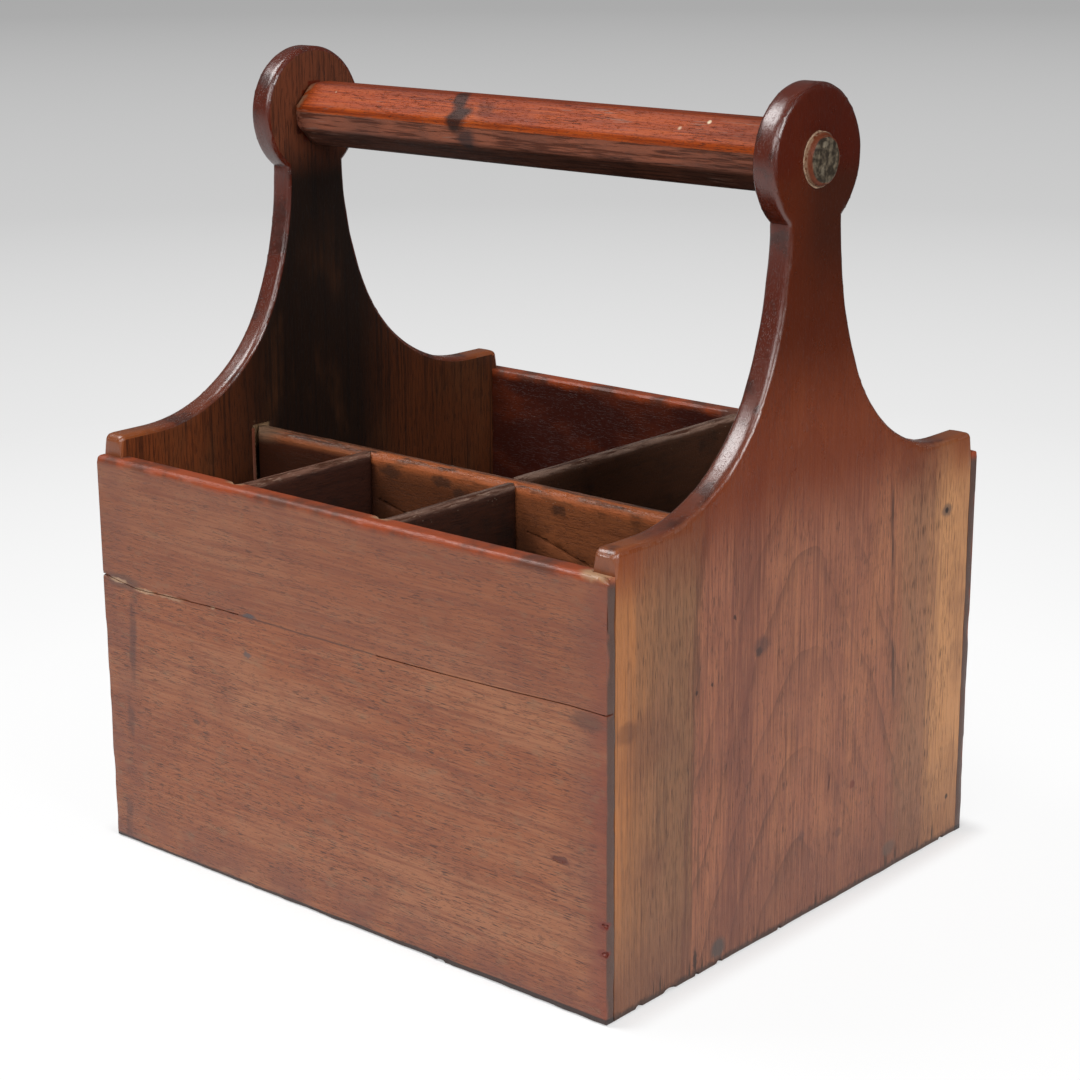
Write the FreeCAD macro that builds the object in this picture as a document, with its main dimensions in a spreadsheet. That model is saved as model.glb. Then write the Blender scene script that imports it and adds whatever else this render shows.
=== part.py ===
import FreeCAD, Part
import math
import os
import Sketcher
from collections import namedtuple
from FreeCAD import Vector

# A wooden carrier: two shaped end panels joined by a front board, a back board, a bottom
# board and a handle rail, with four dividers that make five open compartments.
# X runs along the front, Y from front to back, Z up. The origin is the middle of the base.
# Every length is in millimetres.

os.makedirs("parts", exist_ok=True)
doc = FreeCAD.newDocument("carrier")

# ---------------------------------------------------------------- driving dimensions

SIZES = [
    # case
    ("case_length", 300.0),
    ("case_depth", 264.0),
    ("side_height", 185.0),
    ("side_thickness", 9.5),
    ("lap_thickness", 5.0),
    ("side_edge_radius", 1.6),
    # shaped end panels
    ("end_thickness", 11.5),
    ("ear_height", 9.5),  # above the side boards
    ("ear_land", 21.0),
    ("ear_radius", 3.5),
    ("sweep_turn", 66.0),
    ("neck_width", 36.6),
    ("head_radius", 30.5),
    ("head_height", 329.0),
    ("end_edge_radius", 1.8),
    # bottom board
    ("bottom_thickness", 10.0),
    ("bottom_rise", 14.0),
    ("bottom_gap", 0.2),
    # dividers
    ("divider_thickness", 9.0),
    ("long_divider_thickness", 10.0),
    ("divider_drop", 1.2),
    ("divider_edge_radius", 2.0),
    ("long_divider_place", -40.5),
    ("front_left_place", -64.0),
    ("front_right_place", 24.0),
    ("rear_place", 20.0),
    ("groove_depth", 3.2),
    ("groove_gap", 0.2),
    ("groove_stop", 1.5),
    # handle rail
    ("rail_width", 29.0),
    ("rail_rise", 14.5),
    ("rail_fall", 14.5),
    ("rail_top_flat", 9.0),
    ("rail_bottom_flat", 11.0),
    ("rail_side_top", 1.0),
    ("rail_side_bottom", 6.0),
    ("rail_edge_radius", 1.0),
    ("rail_taper_length", 7.0),
    ("rail_taper_depth", 2.6),
    ("tenon_diameter", 21.5),
    ("tenon_proud", 3.5),
    ("tenon_edge_radius", 1.6),
    # brads
    ("brad_diameter", 1.6),
    ("brad_head_diameter", 2.4),
    ("brad_head_height", 1.2),
    ("brad_sink", 1.0),
    ("bottom_brad_length", 28.0),
    ("lap_brad_length", 22.0),
    ("side_brad_pitch", 66.0),
    ("end_brad_pitch", 58.0),
    ("lap_brad_low", 34.0),
    ("lap_brad_pitch", 60.0),
]

sheet = doc.addObject("Spreadsheet::Sheet", "Sizes")
for row, (alias, value) in enumerate(SIZES, start=1):
    sheet.set("A%d" % row, alias)
    sheet.set("B%d" % row, str(value))
    sheet.setAlias("B%d" % row, alias)
doc.recompute()

S = {alias: "Sizes." + alias for alias, _ in SIZES}


def number(formula):
    """Value of a sheet formula, for a sketch's first positions."""
    value = sheet.evalExpression(formula)
    return float(getattr(value, "Value", value))


# ---------------------------------------------------------------- shared formulas

def formula(text):
    """Formula with each {size} replaced by its cell in the sheet."""
    return "(" + text.format(**S) + ")"


HALF_LENGTH = formula("{case_length} / 2")
HALF_DEPTH = formula("{case_depth} / 2")
INNER_X = formula("{case_length} / 2 - {end_thickness}")
INNER_Y = formula("{case_depth} / 2 - {side_thickness}")
PANEL_Y = formula("{case_depth} / 2 - {lap_thickness}")
BOTTOM_TOP = formula("{bottom_rise} + {bottom_thickness}")
BOTTOM_MIDDLE = formula("{bottom_rise} + {bottom_thickness} / 2")
DIVIDER_TOP = formula("{side_height} - {divider_drop}")
LONG_FRONT = formula("{long_divider_place} - {long_divider_thickness} / 2")
LONG_BACK = formula("{long_divider_place} + {long_divider_thickness} / 2")

# Outer faces of the case: the origin plane they are parallel to, their distance from it,
# and whether they lie on that plane's positive side.
Face = namedtuple("Face", "plane distance side")
RIGHT = Face("YZ_Plane", HALF_LENGTH, 1)
LEFT = Face("YZ_Plane", HALF_LENGTH, -1)
FRONT = Face("XZ_Plane", HALF_DEPTH, 1)
BACK = Face("XZ_Plane", HALF_DEPTH, -1)


def signed(sign, text):
    """Formula text on the positive or the negative side of the middle."""
    return "(%d * %s)" % (sign, text)


# ---------------------------------------------------------------- sketches

def new_body(label):
    """Empty body that will hold one sub-part."""
    body = doc.addObject("PartDesign::Body", "Body_" + label)
    body.Label = label
    return body


def new_sketch(body, name, plane, offset="0"):
    """Sketch parallel to one of the body's own origin planes."""
    sketch = body.newObject("Sketcher::SketchObject", body.Label + "_" + name)
    support = [f for f in body.Origin.OriginFeatures if f.Role == plane][0]
    sketch.AttachmentSupport = [(support, "")]
    sketch.MapMode = "FlatFace"
    sketch.setExpression("AttachmentOffset.Base.z", offset)
    return sketch


def bind(sketch, constraint, text):
    """Add a dimension and bind it to a formula."""
    index = sketch.addConstraint(constraint)
    sketch.setExpression("Constraints[%d]" % index, text)


def pin_point(sketch, shape, end, across, up):
    """Tie one point of a sketch to two formulas."""
    for kind, text in (("DistanceX", across), ("DistanceY", up)):
        bind(sketch, Sketcher.Constraint(kind, -1, 1, shape, end, number(text)), text)


Bend = namedtuple("Bend", "radius turn reach")
# radius: formula; turn: +1 bends left and -1 bends right along the outline;
# reach: +1 for less than half a circle and -1 for more.


def arc_between(start, finish, bend):
    """Arc from start to finish that follows a bend."""
    radius = number(bend.radius)
    chord = finish - start
    rise = math.sqrt(max(radius ** 2 - (chord.Length / 2) ** 2, 0.0))
    left = Vector(-chord.y, chord.x, 0).normalize()
    centre = (start + finish) * 0.5 + left * rise * bend.turn * bend.reach
    first, last = (start, finish) if bend.turn > 0 else (finish, start)
    angle_first = math.atan2(first.y - centre.y, first.x - centre.x)
    angle_last = math.atan2(last.y - centre.y, last.x - centre.x)
    circle = Part.Circle(centre, Vector(0, 0, 1), radius)
    return Part.ArcOfCircle(circle, angle_first, angle_last)


def outline(body, name, plane, corners, offset="0"):
    """Closed outline through (across, up) corners; a third entry bends the next side."""
    sketch = new_sketch(body, name, plane, offset)
    spots = [Vector(number(c[0]), number(c[1]), 0) for c in corners]
    ends = []
    for i, corner in enumerate(corners):
        start = spots[i]
        finish = spots[(i + 1) % len(corners)]
        bend = corner[2] if len(corner) > 2 else None
        if bend is None:
            sketch.addGeometry(Part.LineSegment(start, finish), False)
            ends.append((1, 2))
        else:
            sketch.addGeometry(arc_between(start, finish, bend), False)
            ends.append((1, 2) if bend.turn > 0 else (2, 1))
    for i, corner in enumerate(corners):
        following = (i + 1) % len(corners)
        sketch.addConstraint(Sketcher.Constraint(
            "Coincident", i, ends[i][1], following, ends[following][0]))
        pin_point(sketch, i, ends[i][0], corner[0], corner[1])
        if len(corner) > 2:
            radius = corner[2].radius
            bind(sketch, Sketcher.Constraint("Radius", i, number(radius)), radius)
    return sketch


def circles(body, name, plane, offset, spots, diameter):
    """Sketch of equal circles at (across, up) spots."""
    sketch = new_sketch(body, name, plane, offset)
    for i, (across, up) in enumerate(spots):
        centre = Vector(number(across), number(up), 0)
        circle = Part.Circle(centre, Vector(0, 0, 1), number(diameter) / 2)
        sketch.addGeometry(circle, False)
        pin_point(sketch, i, 3, across, up)
        bind(sketch, Sketcher.Constraint("Diameter", i, number(diameter)), diameter)
    return sketch


# ---------------------------------------------------------------- features

def pad(body, sketch, length, reverse=False, middle=False):
    """Add a sketch's shape, along its plane's normal unless reversed."""
    feature = body.newObject("PartDesign::Pad", sketch.Label + "_pad")
    feature.Profile = sketch
    feature.setExpression("Length", length)
    feature.Reversed = reverse
    feature.Midplane = middle
    doc.recompute()
    return feature


def pocket(body, sketch, length, reverse=False):
    """Cut a sketch's shape, against its plane's normal unless reversed."""
    before = body.Shape.Volume
    feature = body.newObject("PartDesign::Pocket", sketch.Label + "_pocket")
    feature.Profile = sketch
    feature.setExpression("Length", length)
    feature.Reversed = reverse
    doc.recompute()
    if body.Shape.Volume >= before:
        raise RuntimeError("%s cuts nothing, %s" % (feature.Label, feature.State))
    return feature


def dress(body, kind, sizes, wanted):
    """Fillet or chamfer the edges of the body's last shape that pass a test."""
    base = body.Tip
    before = base.Shape.Volume
    names = []
    for i, edge in enumerate(base.Shape.Edges, start=1):
        if wanted(edge):
            names.append("Edge%d" % i)
    if not names:
        raise RuntimeError(body.Label + " has no edge to dress")
    feature = body.newObject("PartDesign::" + kind, "%s_%s" % (body.Label, kind))
    feature.Base = (base, names)
    if "Size2" in sizes:
        feature.ChamferType = "Two distances"
    for prop, text in sizes.items():
        feature.setExpression(prop, text)
    doc.recompute()
    if not feature.Shape.isValid() or near(feature.Shape.Volume, before):
        raise RuntimeError(feature.Label + " did not take its edges")
    return feature


def near(a, b):
    """True for two lengths that are the same."""
    return abs(a - b) < 1e-4


def level(edge, axis, value):
    """True if the whole edge lies at one value of x, y or z."""
    box = edge.BoundBox
    low, high = {"x": (box.XMin, box.XMax), "y": (box.YMin, box.YMax),
                 "z": (box.ZMin, box.ZMax)}[axis]
    return near(low, value) and near(high, value)


def drill(body, name, face, depth, spots, diameter, length):
    """Round holes that start at a depth under an outer face and run inwards."""
    offset = signed(face.side, "(%s - %s)" % (face.distance, depth))
    sketch = circles(body, name, face.plane, offset, spots, diameter)
    return pocket(body, sketch, length, reverse=face.side < 0)


def drill_brad_holes(body, name, face, spots, reach):
    """Shank holes through a board, each with a wider mouth for the punched head."""
    mouth = formula("{brad_sink} + {brad_head_height}")
    drill(body, name + "_shank", face, "0", spots, S["brad_diameter"], reach)
    drill(body, name + "_head", face, "0", spots, S["brad_head_diameter"], mouth)


def brads(label, face, spots, length):
    """Group of equal brads driven in from an outer face, heads punched below it."""
    body = new_body(label)
    body.AllowCompound = True
    head_start = formula("{brad_sink}")
    shank_start = formula("{brad_sink} + {brad_head_height}")
    shank_length = "(%s - %s)" % (length, S["brad_head_height"])
    parts = [("head", head_start, "brad_head_diameter", S["brad_head_height"]),
             ("shank", shank_start, "brad_diameter", shank_length)]
    for name, depth, diameter, reach in parts:
        offset = signed(face.side, "(%s - %s)" % (face.distance, depth))
        sketch = circles(body, name, face.plane, offset, spots, S[diameter])
        pad(body, sketch, reach, reverse=face.side > 0)
    return body


# ---------------------------------------------------------------- places of the brads

def row(pitch, count):
    """Evenly spaced places about the middle."""
    return ["(%s * %s)" % (k - (count - 1) / 2, pitch) for k in range(count)]


END_BRADS = [(y, BOTTOM_MIDDLE) for y in row(S["end_brad_pitch"], 4)]
SIDE_BRADS = [(x, BOTTOM_MIDDLE) for x in row(S["side_brad_pitch"], 4)]
PANEL_MIDDLE = formula("{case_length} / 2 - {end_thickness} / 2")
LAP_LEVELS = [formula("{lap_brad_low} + %d * {lap_brad_pitch}" % k) for k in range(3)]
LAP_BRADS = [(signed(side, PANEL_MIDDLE), z) for side in (-1, 1) for z in LAP_LEVELS]


# ---------------------------------------------------------------- end panels

NECK_Y = formula("{neck_width} / 2")
NECK_Z = formula("{head_height} - sqrt({head_radius} ^ 2 - ({neck_width} / 2) ^ 2)")
SWEEP_START_Y = formula("{case_depth} / 2 - {lap_thickness} - {ear_land}")
SWEEP_WIDE = "(%s - %s)" % (SWEEP_START_Y, NECK_Y)
EAR_TOP = formula("{side_height} + {ear_height}")
SWEEP_TALL = "(%s - %s)" % (NECK_Z, EAR_TOP)
TURN_SIN = formula("sin({sweep_turn} * 1 deg)")
TURN_COS = formula("cos({sweep_turn} * 1 deg)")
TURN_SHARE = "(%s + %s - 1)" % (TURN_SIN, TURN_COS)
# Two arcs, level at the ear and upright at the neck, meet at the angle sweep_turn.
SWEEP_LOW = "((%s * %s - %s * (1 - %s)) / %s)" % (
    SWEEP_WIDE, TURN_COS, SWEEP_TALL, TURN_SIN, TURN_SHARE)
SWEEP_HIGH = "((%s * %s - %s * (1 - %s)) / %s)" % (
    SWEEP_TALL, TURN_SIN, SWEEP_WIDE, TURN_COS, TURN_SHARE)
SWEEP_JOIN_Y = "(%s - %s * %s)" % (SWEEP_START_Y, SWEEP_LOW, TURN_SIN)
SWEEP_JOIN_Z = "(%s + %s * (1 - %s))" % (EAR_TOP, SWEEP_LOW, TURN_COS)
EAR_CORNER_Y = formula("{case_depth} / 2 - {lap_thickness} - {ear_radius}")
EAR_CORNER_Z = "(%s - %s)" % (EAR_TOP, S["ear_radius"])


def round_head(body, start):
    """Disc with rounded rims, turned about the line of the tenons."""
    finish = "(%s + %s)" % (start, S["end_thickness"])
    edge = S["end_edge_radius"]
    axis = S["head_height"]
    rim = "(%s + %s)" % (axis, S["head_radius"])
    shoulder = "(%s - %s)" % (rim, edge)
    rounding = Bend(edge, 1, 1)
    section = outline(body, "head", "XZ_Plane", [
        (start, axis),
        (finish, axis),
        (finish, shoulder, rounding),
        ("(%s - %s)" % (finish, edge), rim),
        ("(%s + %s)" % (start, edge), rim, rounding),
        (start, shoulder),
    ])
    feature = body.newObject("PartDesign::Revolution", section.Label + "_turned")
    feature.Profile = section
    feature.ReferenceAxis = (section, ["Edge1"])
    feature.Angle = 360
    doc.recompute()
    return feature


def end_panel(label, face, groove_side):
    """Shaped board with a round head. groove_side is +1 or -1, outwards along X."""
    body = new_body(label)
    inner = signed(groove_side, INNER_X)
    start = inner if groove_side > 0 else signed(-1, HALF_LENGTH)
    side_top = S["side_height"]
    ear = Bend(S["ear_radius"], 1, 1)
    low = Bend(SWEEP_LOW, -1, 1)
    high = Bend(SWEEP_HIGH, -1, 1)
    upper = outline(body, "upper", "YZ_Plane", [
        (signed(-1, PANEL_Y), side_top),
        (PANEL_Y, side_top),
        (PANEL_Y, EAR_CORNER_Z, ear),
        (EAR_CORNER_Y, EAR_TOP),
        (SWEEP_START_Y, EAR_TOP, low),
        (SWEEP_JOIN_Y, SWEEP_JOIN_Z, high),
        (NECK_Y, NECK_Z),
        (NECK_Y, S["head_height"]),
        (signed(-1, NECK_Y), S["head_height"]),
        (signed(-1, NECK_Y), NECK_Z, high),
        (signed(-1, SWEEP_JOIN_Y), SWEEP_JOIN_Z, low),
        (signed(-1, SWEEP_START_Y), EAR_TOP),
        (signed(-1, EAR_CORNER_Y), EAR_TOP, ear),
        (signed(-1, PANEL_Y), EAR_CORNER_Z),
    ], start)
    pad(body, upper, S["end_thickness"])
    faces_x = [number(signed(groove_side, text)) for text in (INNER_X, HALF_LENGTH)]
    seats = [number(side_top), number(S["head_height"])]
    dress(body, "Fillet", {"Radius": S["end_edge_radius"]}, lambda edge: any(
        level(edge, "x", x) for x in faces_x) and not any(
        level(edge, "z", z) for z in seats))
    round_head(body, start)
    lower = outline(body, "lower", "YZ_Plane", [
        (signed(-1, PANEL_Y), "0"),
        (PANEL_Y, "0"),
        (PANEL_Y, side_top),
        (signed(-1, PANEL_Y), side_top),
    ], start)
    pad(body, lower, S["end_thickness"])
    drill(body, "tenon_hole", face, "0", [("0", S["head_height"])],
          S["tenon_diameter"], S["end_thickness"])
    half = formula("{long_divider_thickness} / 2")
    place = S["long_divider_place"]
    groove = outline(body, "groove", "XY_Plane", [
        (inner, "(%s - %s)" % (place, half)),
        (signed(groove_side, "(%s + %s)" % (INNER_X, S["groove_depth"])), place),
        (inner, "(%s + %s)" % (place, half)),
    ])
    pocket(body, groove, "(%s + %s)" % (DIVIDER_TOP, S["groove_stop"]), reverse=True)
    drill_brad_holes(body, "bottom_brads", face, END_BRADS, S["end_thickness"])
    reach = formula("{brad_sink} + {lap_brad_length} - {lap_thickness}")
    spots = [spot for spot in LAP_BRADS if (number(spot[0]) > 0) == (groove_side > 0)]
    for side in (FRONT, BACK):
        name = "lap_brads_front" if side is FRONT else "lap_brads_back"
        drill(body, name, side, S["lap_thickness"], spots, S["brad_diameter"], reach)
    return body


# ---------------------------------------------------------------- front and back boards

def wall_groove(place, wall, depth_sign):
    """Corners of a V groove in a wall along X, from its +X edge to its -X edge."""
    half = formula("{divider_thickness} / 2")
    bottom = "(%s + %d * %s)" % (wall, depth_sign, S["groove_depth"])
    return [("(%s + %s)" % (place, half), wall),
            (place, bottom),
            ("(%s - %s)" % (place, half), wall)]


def side_board(label, face, side, places):
    """Board along X whose rabbeted ends lap over the end panels' edges."""
    body = new_body(label)
    outer = signed(side, HALF_DEPTH)
    lap = signed(side, PANEL_Y)
    inner = signed(side, INNER_Y)
    corners = [
        (signed(-1, HALF_LENGTH), outer),
        (HALF_LENGTH, outer),
        (HALF_LENGTH, lap),
        (INNER_X, lap),
        (INNER_X, inner),
    ]
    for place in sorted(places, key=number, reverse=True):
        corners += wall_groove(place, inner, side)
    corners += [
        (signed(-1, INNER_X), inner),
        (signed(-1, INNER_X), lap),
        (signed(-1, HALF_LENGTH), lap),
    ]
    plan = outline(body, "plan", "XY_Plane", corners)
    pad(body, plan, S["side_height"])
    top = number(S["side_height"])
    outer_y = number(outer)
    inner_y = number(inner)
    dress(body, "Fillet", {"Radius": S["side_edge_radius"]}, lambda edge: level(
        edge, "z", top) and (level(edge, "y", outer_y) or level(edge, "y", inner_y)))
    drill_brad_holes(body, "bottom_brads", face, SIDE_BRADS, S["side_thickness"])
    drill_brad_holes(body, "lap_brads", face, LAP_BRADS, S["lap_thickness"])
    return body


# ---------------------------------------------------------------- bottom board

def bottom_board():
    """Plain board held between the four walls by brads through their lower edges."""
    body = new_body("bottom_board")
    x = "(%s - %s)" % (INNER_X, S["bottom_gap"])
    y = "(%s - %s)" % (INNER_Y, S["bottom_gap"])
    plan = outline(body, "plan", "XY_Plane", [
        (signed(-1, x), signed(-1, y)), (x, signed(-1, y)), (x, y), (signed(-1, x), y),
    ], S["bottom_rise"])
    pad(body, plan, S["bottom_thickness"])
    for name, face, spots, wall in (
            ("left", LEFT, END_BRADS, S["end_thickness"]),
            ("right", RIGHT, END_BRADS, S["end_thickness"]),
            ("front", FRONT, SIDE_BRADS, S["side_thickness"]),
            ("back", BACK, SIDE_BRADS, S["side_thickness"])):
        reach = "(%s + %s - %s)" % (S["brad_sink"], S["bottom_brad_length"], wall)
        drill(body, name + "_brads", face, wall, spots, S["brad_diameter"], reach)
    return body


# ---------------------------------------------------------------- dividers

SHOULDER = S["groove_gap"]
POINT = formula("{groove_depth} - {groove_gap}")


def divider(label, along, start, finish, place, thickness, low_grooves=(), high_grooves=()):
    """Board from one wall to another, pointed at both ends, standing on the bottom."""
    body = new_body(label)
    half = "(%s / 2)" % thickness
    low = "(%s - %s)" % (place, half)
    high = "(%s + %s)" % (place, half)
    first = "(%s + %s)" % (start, SHOULDER)
    last = "(%s - %s)" % (finish, SHOULDER)
    corners = [(first, low)]
    for spot in sorted(low_grooves, key=number):
        corners += reversed(wall_groove(spot, low, 1))
    corners += [(last, low), ("(%s + %s)" % (finish, POINT), place), (last, high)]
    for spot in sorted(high_grooves, key=number, reverse=True):
        corners += wall_groove(spot, high, -1)
    corners += [(first, high), ("(%s - %s)" % (start, POINT), place)]
    if along == "y":
        corners = [(across, run) for run, across in corners]
    plan = outline(body, "plan", "XY_Plane", corners, BOTTOM_TOP)
    pad(body, plan, "(%s - %s)" % (DIVIDER_TOP, BOTTOM_TOP))
    top = number(DIVIDER_TOP)
    side = "x" if along == "y" else "y"
    sides = [number(low), number(high)]
    dress(body, "Fillet", {"Radius": S["divider_edge_radius"]}, lambda edge: level(
        edge, "z", top) and any(level(edge, side, value) for value in sides))
    return body


# ---------------------------------------------------------------- handle rail

def handle_rail():
    """Eight-sided rail, tapered at its shoulders, with a round tenon glued at each end."""
    body = new_body("handle_rail")
    middle = S["head_height"]
    side = formula("{rail_width} / 2")
    top = formula("{head_height} + {rail_rise}")
    bottom = formula("{head_height} - {rail_fall}")
    top_flat = formula("{rail_top_flat} / 2")
    bottom_flat = formula("{rail_bottom_flat} / 2")
    side_top = "(%s + %s)" % (middle, S["rail_side_top"])
    side_bottom = "(%s - %s)" % (middle, S["rail_side_bottom"])
    section = outline(body, "section", "YZ_Plane", [
        (signed(-1, bottom_flat), bottom),
        (bottom_flat, bottom),
        (side, side_bottom),
        (side, side_top),
        (top_flat, top),
        (signed(-1, top_flat), top),
        (signed(-1, side), side_top),
        (signed(-1, side), side_bottom),
    ])
    pad(body, section, "(2 * %s)" % INNER_X, middle=True)
    shoulders = [number(signed(sign, INNER_X)) for sign in (-1, 1)]
    taper = {"Size": S["rail_taper_length"], "Size2": S["rail_taper_depth"]}
    dress(body, "Chamfer", taper, lambda edge: any(level(edge, "x", x) for x in shoulders))
    long_edge = 2 * (number(INNER_X) - number(S["rail_taper_length"]))
    dress(body, "Fillet", {"Radius": S["rail_edge_radius"]},
          lambda edge: near(edge.BoundBox.XLength, long_edge))
    tenon = circles(body, "tenon", "YZ_Plane", "0", [("0", middle)], S["tenon_diameter"])
    pad(body, tenon, "(2 * (%s + %s))" % (HALF_LENGTH, S["tenon_proud"]), middle=True)
    tips = [number("(%d * (%s + %s))" % (sign, HALF_LENGTH, S["tenon_proud"]))
            for sign in (-1, 1)]
    dress(body, "Fillet", {"Radius": S["tenon_edge_radius"]},
          lambda edge: any(level(edge, "x", x) for x in tips))
    return body


# ---------------------------------------------------------------- assembly

FRONT_WALL = signed(-1, INNER_Y)
FRONT_PLACES = [S["front_left_place"], S["front_right_place"]]
REAR_PLACES = [S["rear_place"]]
THIN = S["divider_thickness"]

bodies = [
    end_panel("left_end_panel", LEFT, -1),
    end_panel("right_end_panel", RIGHT, 1),
    side_board("front_board", FRONT, -1, FRONT_PLACES),
    side_board("back_board", BACK, 1, REAR_PLACES),
    bottom_board(),
    divider("long_divider", "x", signed(-1, INNER_X), INNER_X, S["long_divider_place"],
            S["long_divider_thickness"], FRONT_PLACES, REAR_PLACES),
    divider("front_left_divider", "y", FRONT_WALL, LONG_FRONT, FRONT_PLACES[0], THIN),
    divider("front_right_divider", "y", FRONT_WALL, LONG_FRONT, FRONT_PLACES[1], THIN),
    divider("rear_divider", "y", LONG_BACK, INNER_Y, REAR_PLACES[0], THIN),
    handle_rail(),
    brads("left_bottom_brads", LEFT, END_BRADS, S["bottom_brad_length"]),
    brads("right_bottom_brads", RIGHT, END_BRADS, S["bottom_brad_length"]),
    brads("front_bottom_brads", FRONT, SIDE_BRADS, S["bottom_brad_length"]),
    brads("back_bottom_brads", BACK, SIDE_BRADS, S["bottom_brad_length"]),
    brads("front_lap_brads", FRONT, LAP_BRADS, S["lap_brad_length"]),
    brads("back_lap_brads", BACK, LAP_BRADS, S["lap_brad_length"]),
]

doc.recompute()
for thing in doc.Objects:
    if "Invalid" in thing.State or "Error" in thing.State:
        raise RuntimeError("%s: %s" % (thing.Label, thing.State))

for body in bodies:
    shape = body.Shape
    if shape.isNull() or not shape.isValid() or not shape.Solids:
        raise RuntimeError(body.Label + " has no valid solid")
    shape.exportStep(os.path.join("parts", body.Label + ".step"))
    box = shape.BoundBox
    print("%-22s solids %2d  volume %11.1f  x %7.1f %7.1f  y %7.1f %7.1f  z %6.1f %6.1f" % (
        body.Label, len(shape.Solids), shape.Volume,
        box.XMin, box.XMax, box.YMin, box.YMax, box.ZMin, box.ZMax))
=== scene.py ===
import math

import bmesh
import bpy
from mathutils import Matrix, Vector


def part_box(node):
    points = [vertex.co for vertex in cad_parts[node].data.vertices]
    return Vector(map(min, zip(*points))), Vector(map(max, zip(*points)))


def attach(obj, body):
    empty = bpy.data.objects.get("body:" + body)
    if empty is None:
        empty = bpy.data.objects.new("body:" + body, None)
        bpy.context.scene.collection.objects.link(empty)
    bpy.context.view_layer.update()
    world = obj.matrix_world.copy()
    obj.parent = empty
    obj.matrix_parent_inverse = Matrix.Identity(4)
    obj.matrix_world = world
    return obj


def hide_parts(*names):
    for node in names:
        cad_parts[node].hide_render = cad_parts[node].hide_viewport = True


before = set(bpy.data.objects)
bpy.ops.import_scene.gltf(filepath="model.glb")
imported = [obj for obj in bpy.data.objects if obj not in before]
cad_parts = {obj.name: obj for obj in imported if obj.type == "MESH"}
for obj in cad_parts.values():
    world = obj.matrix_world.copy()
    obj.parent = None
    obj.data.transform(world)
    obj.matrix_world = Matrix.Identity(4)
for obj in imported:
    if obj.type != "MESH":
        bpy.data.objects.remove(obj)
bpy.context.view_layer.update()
MM = 0.001


# ------------------------------------------------------------------ camera
# A long lens at the carrier's front right corner, a little above the handle and looking down,
# so that the front, the right end and the inside all show.

EYE = Vector((0.70053, -0.80176, 0.45001))
EYE_TURN = math.radians(41.0868)
EYE_DOWN = math.radians(16.052)
EYE_ROLL = math.radians(-0.3046)
LENS = 80.61
FILM_WIDTH = 36.0


def deselect():
    bpy.ops.object.select_all(action="DESELECT")


deselect()
bpy.ops.object.camera_add()
camera = bpy.context.object
camera.name = "camera"
camera.data.lens = LENS
camera.data.sensor_width = FILM_WIDTH
camera.matrix_world = (
    Matrix.Translation(EYE)
    @ Matrix.Rotation(EYE_TURN, 4, "Z")
    @ Matrix.Rotation(math.pi / 2 - EYE_DOWN, 4, "X")
    @ Matrix.Rotation(EYE_ROLL, 4, "Z")
)
bpy.context.scene.camera = camera
bpy.context.scene.view_settings.view_transform = "Standard"


# ------------------------------------------------------------------ table
# A wide table under white paper that turns grey further off and takes a soft shadow. A dark card
# lies off to the right, hidden from the camera, so that the sheen on the right end fades out.

TABLE_REACH = 14.0
TABLE_DROP = 0.0004
TABLE_GREYS = ((0.0, 1.0), (0.36, 1.0), (0.52, 0.945), (0.92, 0.815), (2.1, 0.607), (5.9, 0.41),
               (14.0, 0.33))
PAPER_WHITE = 0.985
CARD_GREY = 0.05
CARD_START = 430.0
CARD_FULL = 900.0
TO_THE_RIGHT = (0.754, 0.657, 0.0)
AWAY = (-0.657, 0.754, 0.0)
FOOTPRINT = (150.0, 132.0, 9.0)


class Amount:
    """A number that varies over a finish. Sums and products of amounts are amounts too."""

    def __init__(self, finish, socket):
        self.finish = finish
        self.socket = socket

    def __add__(self, other):
        return self.finish.maths("ADD", self, other)

    def __sub__(self, other):
        return self.finish.maths("SUBTRACT", self, other)

    def __rsub__(self, other):
        return self.finish.maths("SUBTRACT", other, self)

    def __mul__(self, other):
        return self.finish.maths("MULTIPLY", self, other)

    def __truediv__(self, other):
        return self.finish.maths("DIVIDE", self, other)

    def __abs__(self):
        return self.finish.maths("ABSOLUTE", self)

    def between(self, low, high):
        """0 up to low and 1 from high on, smooth in the middle. low may be the larger."""
        ramp = self.finish.node("MapRange", self, low, high, interpolation_type="SMOOTHSTEP")
        return Amount(self.finish, ramp.outputs[0])

    def near(self, middle, reach):
        """1 close to a middle, and 0 from reach on."""
        return abs(self - middle).between(reach, 0.3 * reach)


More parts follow.
